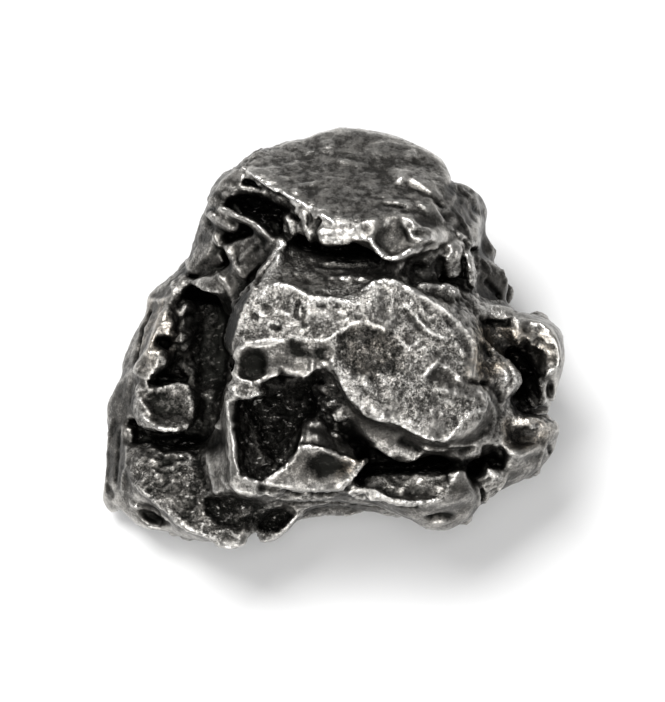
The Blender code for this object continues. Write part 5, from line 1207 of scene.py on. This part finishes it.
def grouped(piece, name, weights):
    """A vertex group of those weights, in steps of a twentieth."""
    group = piece.vertex_groups.new(name=name)
    whole = 20
    steps = np.round(weights * whole).astype(int)
    for step in range(1, whole + 1):
        group.add(np.flatnonzero(steps == step).tolist(), step / whole, "REPLACE")
    return group.name


def roughen(piece, group, kind, size, height, middle=0.5, **settings):
    """Pushes the skin in and out by a texture whose features have that size, in millimetres."""
    relief = bpy.data.textures.new(f"{kind.lower()}_{size}", kind)
    relief.noise_scale = size
    for name, value in settings.items():
        setattr(relief, name, value)
    apply(
        piece, "DISPLACE", texture=relief, texture_coords="LOCAL", strength=height, mid_level=middle,
        vertex_group=group,
    )


def dimple(piece, skin):
    """Melts the sides that the eye doesn't see and gives them thumb-print hollows, clear of the seats."""
    seen = skin.evened(skin.open, UNSEEN_ROUNDS)[:, 0]
    unseen = np.clip(1 - UNSEEN_SLOPE * seen, 0, 1)
    raised = np.clip((skin.places[:, 2] - SEAT_CLEAR) / SEAT_EASE, 0, 1)
    walls = skin.thickness(WALL_KEPT + WALL_EASE) - WALL_KEPT
    solid = skin.evened(np.clip(walls / WALL_EASE, 0, 1), WALL_ROUNDS)[:, 0]
    hidden = grouped(piece, "unseen", unseen * raised * solid)
    apply(piece, "SMOOTH", factor=HALF, iterations=HIDDEN_MELT, vertex_group=hidden)
    roughen(piece, hidden, "CLOUDS", *HIDDEN_SWELLS, noise_depth=1)
    roughen(piece, hidden, "VORONOI", *HIDDEN_HOLLOWS, distance_metric="DISTANCE_SQUARED")


def thin(piece, hidden):
    """Takes triangles out where the skin is plain or hidden, down to the most that the piece may have."""
    apply(piece, "TRIANGULATE")
    share = MOST_TRIANGLES / len(piece.data.polygons)
    if share < 1:
        apply(piece, "DECIMATE", ratio=share, vertex_group=hidden, vertex_group_factor=HIDDEN_THINNING)


def shed_crumbs(piece):
    """Deletes what came loose from the stone, which holds the mesh's highest vertex."""
    highest = max(piece.data.vertices, key=lambda vertex: vertex.co.z).index
    only(piece)
    bpy.ops.object.mode_set(mode="EDIT")
    bpy.ops.mesh.select_mode(type="VERT")
    bpy.ops.mesh.select_all(action="DESELECT")
    bpy.ops.object.mode_set(mode="OBJECT")
    piece.data.vertices[highest].select = True
    bpy.ops.object.mode_set(mode="EDIT")
    bpy.ops.mesh.select_linked()
    bpy.ops.mesh.select_all(action="INVERT")
    bpy.ops.mesh.delete(type="VERT")
    bpy.ops.object.mode_set(mode="OBJECT")


def seat(piece):
    """Sets the lowest skin flat on the table."""
    places, _, _ = arrays(piece.data)
    places[places[:, 2] < SEAT_SNAP, 2] = 0
    piece.data.vertices.foreach_set("co", places.astype(np.float32).ravel())
    piece.data.update()


def worked_stone():
    """The stone with every face and mark worked into it, in millimetres."""
    piece = stone_copy()
    fuse(piece, FORM_CELL)
    apply(piece, "SMOOTH", factor=HALF, iterations=FORM_MELT)
    fuse(piece, CARVING_CELL)
    for _ in range(FACET_PASSES):
        carve(piece, facets())
        fuse(piece, CARVING_CELL)
    apply(piece, "SMOOTH", factor=HALF, iterations=FACET_MELT)

    skin = Skin(piece)
    dimple(piece, skin)
    rough = grouped(piece, "rough", laid(skin)["rough"])
    roughen(piece, rough, "CLOUDS", *LUMPS, noise_depth=2)
    roughen(piece, rough, "MUSGRAVE", *RIDGES, musgrave_type="RIDGED_MULTIFRACTAL", octaves=3.0)

    carve(piece, every_mark())
    fuse(piece, CARVING_CELL)
    skin = Skin(piece)
    ways = laid(skin)
    rough = grouped(piece, "rough", np.clip(PITTING_EVERYWHERE + ways["rough"], 0, 1))
    roughen(piece, rough, "CLOUDS", *PITTING, noise_depth=3)
    grain = grouped(piece, "grain", ways["grain"])
    roughen(piece, grain, "CLOUDS", *GRAIN, noise_depth=2)
    hidden = 1 - skin.evened(skin.open, THINNING_ROUNDS)[:, 0]
    thin(piece, grouped(piece, "hidden", SEEN_THINNING + (1 - SEEN_THINNING) * hidden))
    shed_crumbs(piece)
    seat(piece)
    piece.vertex_groups.clear()
    return piece


def spread(count):
    """Directions spread evenly over the half sphere about +Z, more of them near its pole."""
    turn = math.pi * (3 - math.sqrt(5))
    made = []
    for index in range(count):
        height = math.sqrt(1 - (index + 0.5) / count)
        reach = math.sqrt(1 - height * height)
        made.append(Vector((reach * math.cos(index * turn), reach * math.sin(index * turn), height)))
    return made


def openness(skin):
    """How open each vertex is, 0 in a deep hollow to 1 on a bare face."""
    directions = spread(OPEN_RAYS)
    free = np.zeros(skin.count)
    for index in range(skin.count):
        normal = Vector(skin.normals[index])
        start = Vector(skin.places[index]) + normal * skin.UNDER
        turn = normal.to_track_quat("Z", "Y")
        for direction in directions:
            if skin.tree.ray_cast(start, turn @ direction, OPEN_REACH)[0] is None:
                free[index] += 1
    return free / OPEN_RAYS


def attribute(mesh, name, values):
    """Keeps a value for each vertex in the mesh, for the finish to read."""
    made = mesh.attributes.new(name, "FLOAT", "POINT")
    made.data.foreach_set("value", values.astype(np.float32))


def dress(piece):
    """Writes as attributes the skin's wear with painted shade in its creases, its openness, which the
    finish turns into painted shade, and its tone with each mark's painted highlight and shade, besides the
    zones' grain, streak and warmth.
    """
    skin = Skin(piece)
    fine = ((skin.places - skin.evened(skin.places, FINE_ROUNDS)) * skin.normals).sum(1)
    broad = ((skin.places - skin.evened(skin.places, BROAD_ROUNDS)) * skin.normals).sum(1)
    # Lighter on rims and darker in creases: brushed wear and a painted highlight on the rims, painted shade
    # in the creases.
    wear = 0.5 + FINE_SHARE * np.tanh(fine / FINE_RISE) + BROAD_SHARE * np.tanh(broad / BROAD_RISE)
    ways = laid(skin)
    # The zones' tone, partly painted light, with each mark's painted highlight and shade added to it.
    shine = ways["tone"].copy()
    for mark in every_mark():
        mark.paint(skin, shine)
    attribute(piece.data, "wear", wear)
    attribute(piece.data, "shine", skin.evened(shine, PAINTED_LIGHT_ROUNDS)[:, 0])
    for name in ("grain", "streak", "warm"):
        attribute(piece.data, name, ways[name])
    attribute(piece.data, "open", skin.evened(openness(skin), OPEN_ROUNDS)[:, 0])


class Wire:
    """One output of a shader node; arithmetic on it adds Math nodes."""

    def __init__(self, finish, socket):
        self.finish, self.socket = finish, socket

    def maths(self, operation, *values):
        return self.finish.node("ShaderNodeMath", {"operation": operation}, dict(enumerate(values)))

    def __add__(self, other):
        return self.maths("ADD", self, other)

    def __sub__(self, other):
        return self.maths("SUBTRACT", self, other)

    def __rsub__(self, other):
        return self.maths("SUBTRACT", other, self)

    def __mul__(self, other):
        return self.maths("MULTIPLY", self, other)

    def __pow__(self, other):
        return self.maths("POWER", self, other)

    def size(self):
        """The value without its sign."""
        return self.maths("ABSOLUTE", self)

    def held(self):
        """The value kept between 0 and 1."""
        return self.finish.node("ShaderNodeClamp", {}, {0: self})

    __radd__ = __add__
    __rmul__ = __mul__


class Finish:
    """A material that is put together node by node."""

    def __init__(self, name):
        self.material = bpy.data.materials.new(name)
        self.material.use_nodes = True
        self.tree = self.material.node_tree
        self.surface = self.tree.nodes["Principled BSDF"]

    def node(self, kind, settings, inputs, output=0):
        """Adds a node, sets it up, feeds its sockets and gives one of its outputs."""
        made = self.tree.nodes.new(kind)
        for name, value in settings.items():
            if name == "stops":
                self.stops(made.color_ramp, value)
            else:
                setattr(made, name, value)
        for name, value in inputs.items():
            self.feed(made.inputs[name], value)
        return Wire(self, made.outputs[output])

    def stops(self, ramp, stops):
        while len(ramp.elements) < len(stops):
            ramp.elements.new(1.0)
        for element, (place, colour) in zip(ramp.elements, stops):
            element.position = place
            element.color = (*colour, 1)

    def feed(self, socket, value):
        if isinstance(value, Wire):
            self.tree.links.new(value.socket, socket)
        else:
            socket.default_value = value

    def painted(self, name):
        """One of the skin's own attributes."""
        return self.node("ShaderNodeAttribute", {"attribute_name": name}, {}, "Fac")

    def noise(self, size, detail=2.0, roughness=0.5, stretch=(1, 1, 1)):
        """Noise on the object's own coordinates; size is in metres."""
        where = self.node("ShaderNodeTexCoord", {}, {}, "Object")
        mapped = self.node("ShaderNodeMapping", {}, {"Vector": where, "Scale": stretch})
        values = {"Vector": mapped, "Scale": 1 / size, "Detail": detail, "Roughness": roughness}
        return self.node("ShaderNodeTexNoise", {}, values, "Fac")


def worn_iron_with_painted_light():
    """Bare iron with painted light: painted shade makes it black in the hollows, it is dull on the faces,
    brushed wear and painted highlights make it nearly white on rims and high places, and painted glints dot
    it.
    """
    finish = Finish("worn_iron_with_painted_light")
    names = ("wear", "shine", "open", "grain", "streak", "warm")
    wear, shine, opened, grain, streak, warm = (finish.painted(name) for name in names)
    speck = finish.noise(*SPECK) - MEAN
    blotch = finish.noise(*BLOTCH) - MEAN
    drawn = finish.noise(*DRAWN) - MEAN
    busy = grain * ((finish.noise(*BUSY_AREA) - BUSY_FROM) * BUSY_SLOPE).held()
    worms = (1 - (finish.noise(*WORM) - MEAN).size() * WORM_THINNESS).held()
    # Painted glints: bright points of painted highlight on grainy skin, more of them in the hollows.
    painted_glint = ((finish.noise(*PAINTED_GLINT) - PAINTED_GLINT_FROM) * PAINTED_GLINT_SLOPE).held()
    # The metal's painted light: the curvature lightens rims and darkens creases, and the marks add painted
    # highlights and shade.
    light = (
        DULL + WEAR_AND_SHADE_LIGHT * (wear - MEAN) + PAINTED_LIGHT_SHARE * shine
        + (SPECK_EVERYWHERE + busy) * speck * SPECK_LIGHT + busy * worms * WORM_LIGHT
        + blotch * BLOTCH_LIGHT + streak * drawn * DRAWN_LIGHT
    ).held()
    # Painted shade: the metal is darkened where the skin is less open, most in the hollows and creases.
    depth = (opened * OPEN_GAIN).held() ** OPEN_POWER
    bare = PAINTED_GLINT_DEEP - PAINTED_GLINT_BARE * opened
    metal = finish.node(
        "ShaderNodeValToRGB",
        {"stops": IRON},
        {"Fac": (light * depth + grain * painted_glint * bare).held()},
        "Color",
    )
    rusty = (warm * (RUST_SHARE + RUST_BLOTCH * blotch + RUST_SPECK * speck)).held()
    tinted = finish.node(
        "ShaderNodeMix", {"data_type": "RGBA", "blend_type": "MULTIPLY"}, {0: rusty, 6: metal, 7: RUST}, 2
    )
    finish.feed(finish.surface.inputs["Base Color"], tinted)
    finish.feed(finish.surface.inputs["Metallic"], METALLIC)
    finish.feed(finish.surface.inputs["Roughness"], ROUGHEST - POLISH * light)
    relief = (BUMP_FINE + busy) * finish.noise(*FINE_RELIEF)
    relief = relief + (BUMP_COARSE + BUMP_GRAIN * grain) * finish.noise(*COARSE_RELIEF)
    relief = relief + streak * drawn * BUMP_DRAWN + busy * worms
    sockets = {"Strength": BUMP_STRENGTH, "Distance": BUMP_DISTANCE, "Height": relief}
    bump = finish.node("ShaderNodeBump", {}, sockets)
    finish.feed(finish.surface.inputs["Normal"], bump)
    return finish.material


def table():
    """The plain pale surface that the stone rests on."""
    bpy.ops.object.select_all(action="DESELECT")
    bpy.ops.mesh.primitive_plane_add(size=TABLE_SIZE)
    floor = bpy.context.object
    floor.name = "table"
    finish = Finish("pale_table")
    finish.feed(finish.surface.inputs["Base Color"], TABLE_COLOUR)
    finish.feed(finish.surface.inputs["Roughness"], TABLE_ROUGHNESS)
    floor.data.materials.append(finish.material)


def softbox(name, place, size, power):
    """A square soft light that is aimed at the stone."""
    lamp = bpy.data.lights.new(name, "AREA")
    lamp.size = size
    lamp.energy = power
    holder = bpy.data.objects.new(name, lamp)
    holder.location = place
    holder.rotation_euler = (LIGHTS_AIM - Vector(place)).to_track_quat("-Z", "Y").to_euler()
    bpy.context.scene.collection.objects.link(holder)


def studio():
    """Soft light from the upper left, from above and from the front, in a dim white room."""
    softbox("key_light", *KEY)
    softbox("fill_light", *FILL)
    softbox("front_light", *FRONT)
    room = bpy.data.worlds.new("room")
    bpy.context.scene.world = room
    room.use_nodes = True
    room.node_tree.nodes["Background"].inputs["Color"].default_value = (1, 1, 1, 1)
    room.node_tree.nodes["Background"].inputs["Strength"].default_value = ROOM_LIGHT
    bpy.context.scene.view_settings.view_transform = "Standard"


def camera():
    """The eye, looking down at the stone as the photograph does."""
    lens = bpy.data.cameras.new("camera")
    lens.sensor_width = SENSOR
    lens.lens = SENSOR * SIGHT_RANGE / (max(PICTURE) * PIXEL)
    lens.clip_start = NEAREST_SEEN
    eye = bpy.data.objects.new("camera", lens)
    aim = sight(*at_pixel((PICTURE[0] / 2, PICTURE[1] / 2)), 0)
    eye.location = (aim + TOWARDS * SIGHT_RANGE) * MM
    eye.rotation_mode = "QUATERNION"
    eye.rotation_quaternion = (-TOWARDS).to_track_quat("-Z", "Y")
    bpy.context.scene.collection.objects.link(eye)
    bpy.context.scene.camera = eye


def main():
    stone = worked_stone()
    dress(stone)
    stone.data.transform(Matrix.Scale(MM, 4))
    stone.data.materials.clear()
    stone.data.materials.append(worn_iron_with_painted_light())
    stone.data.shade_smooth()
    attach(stone, "root")
    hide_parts("meteorite")
    table()
    studio()
    camera()


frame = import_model()
main()
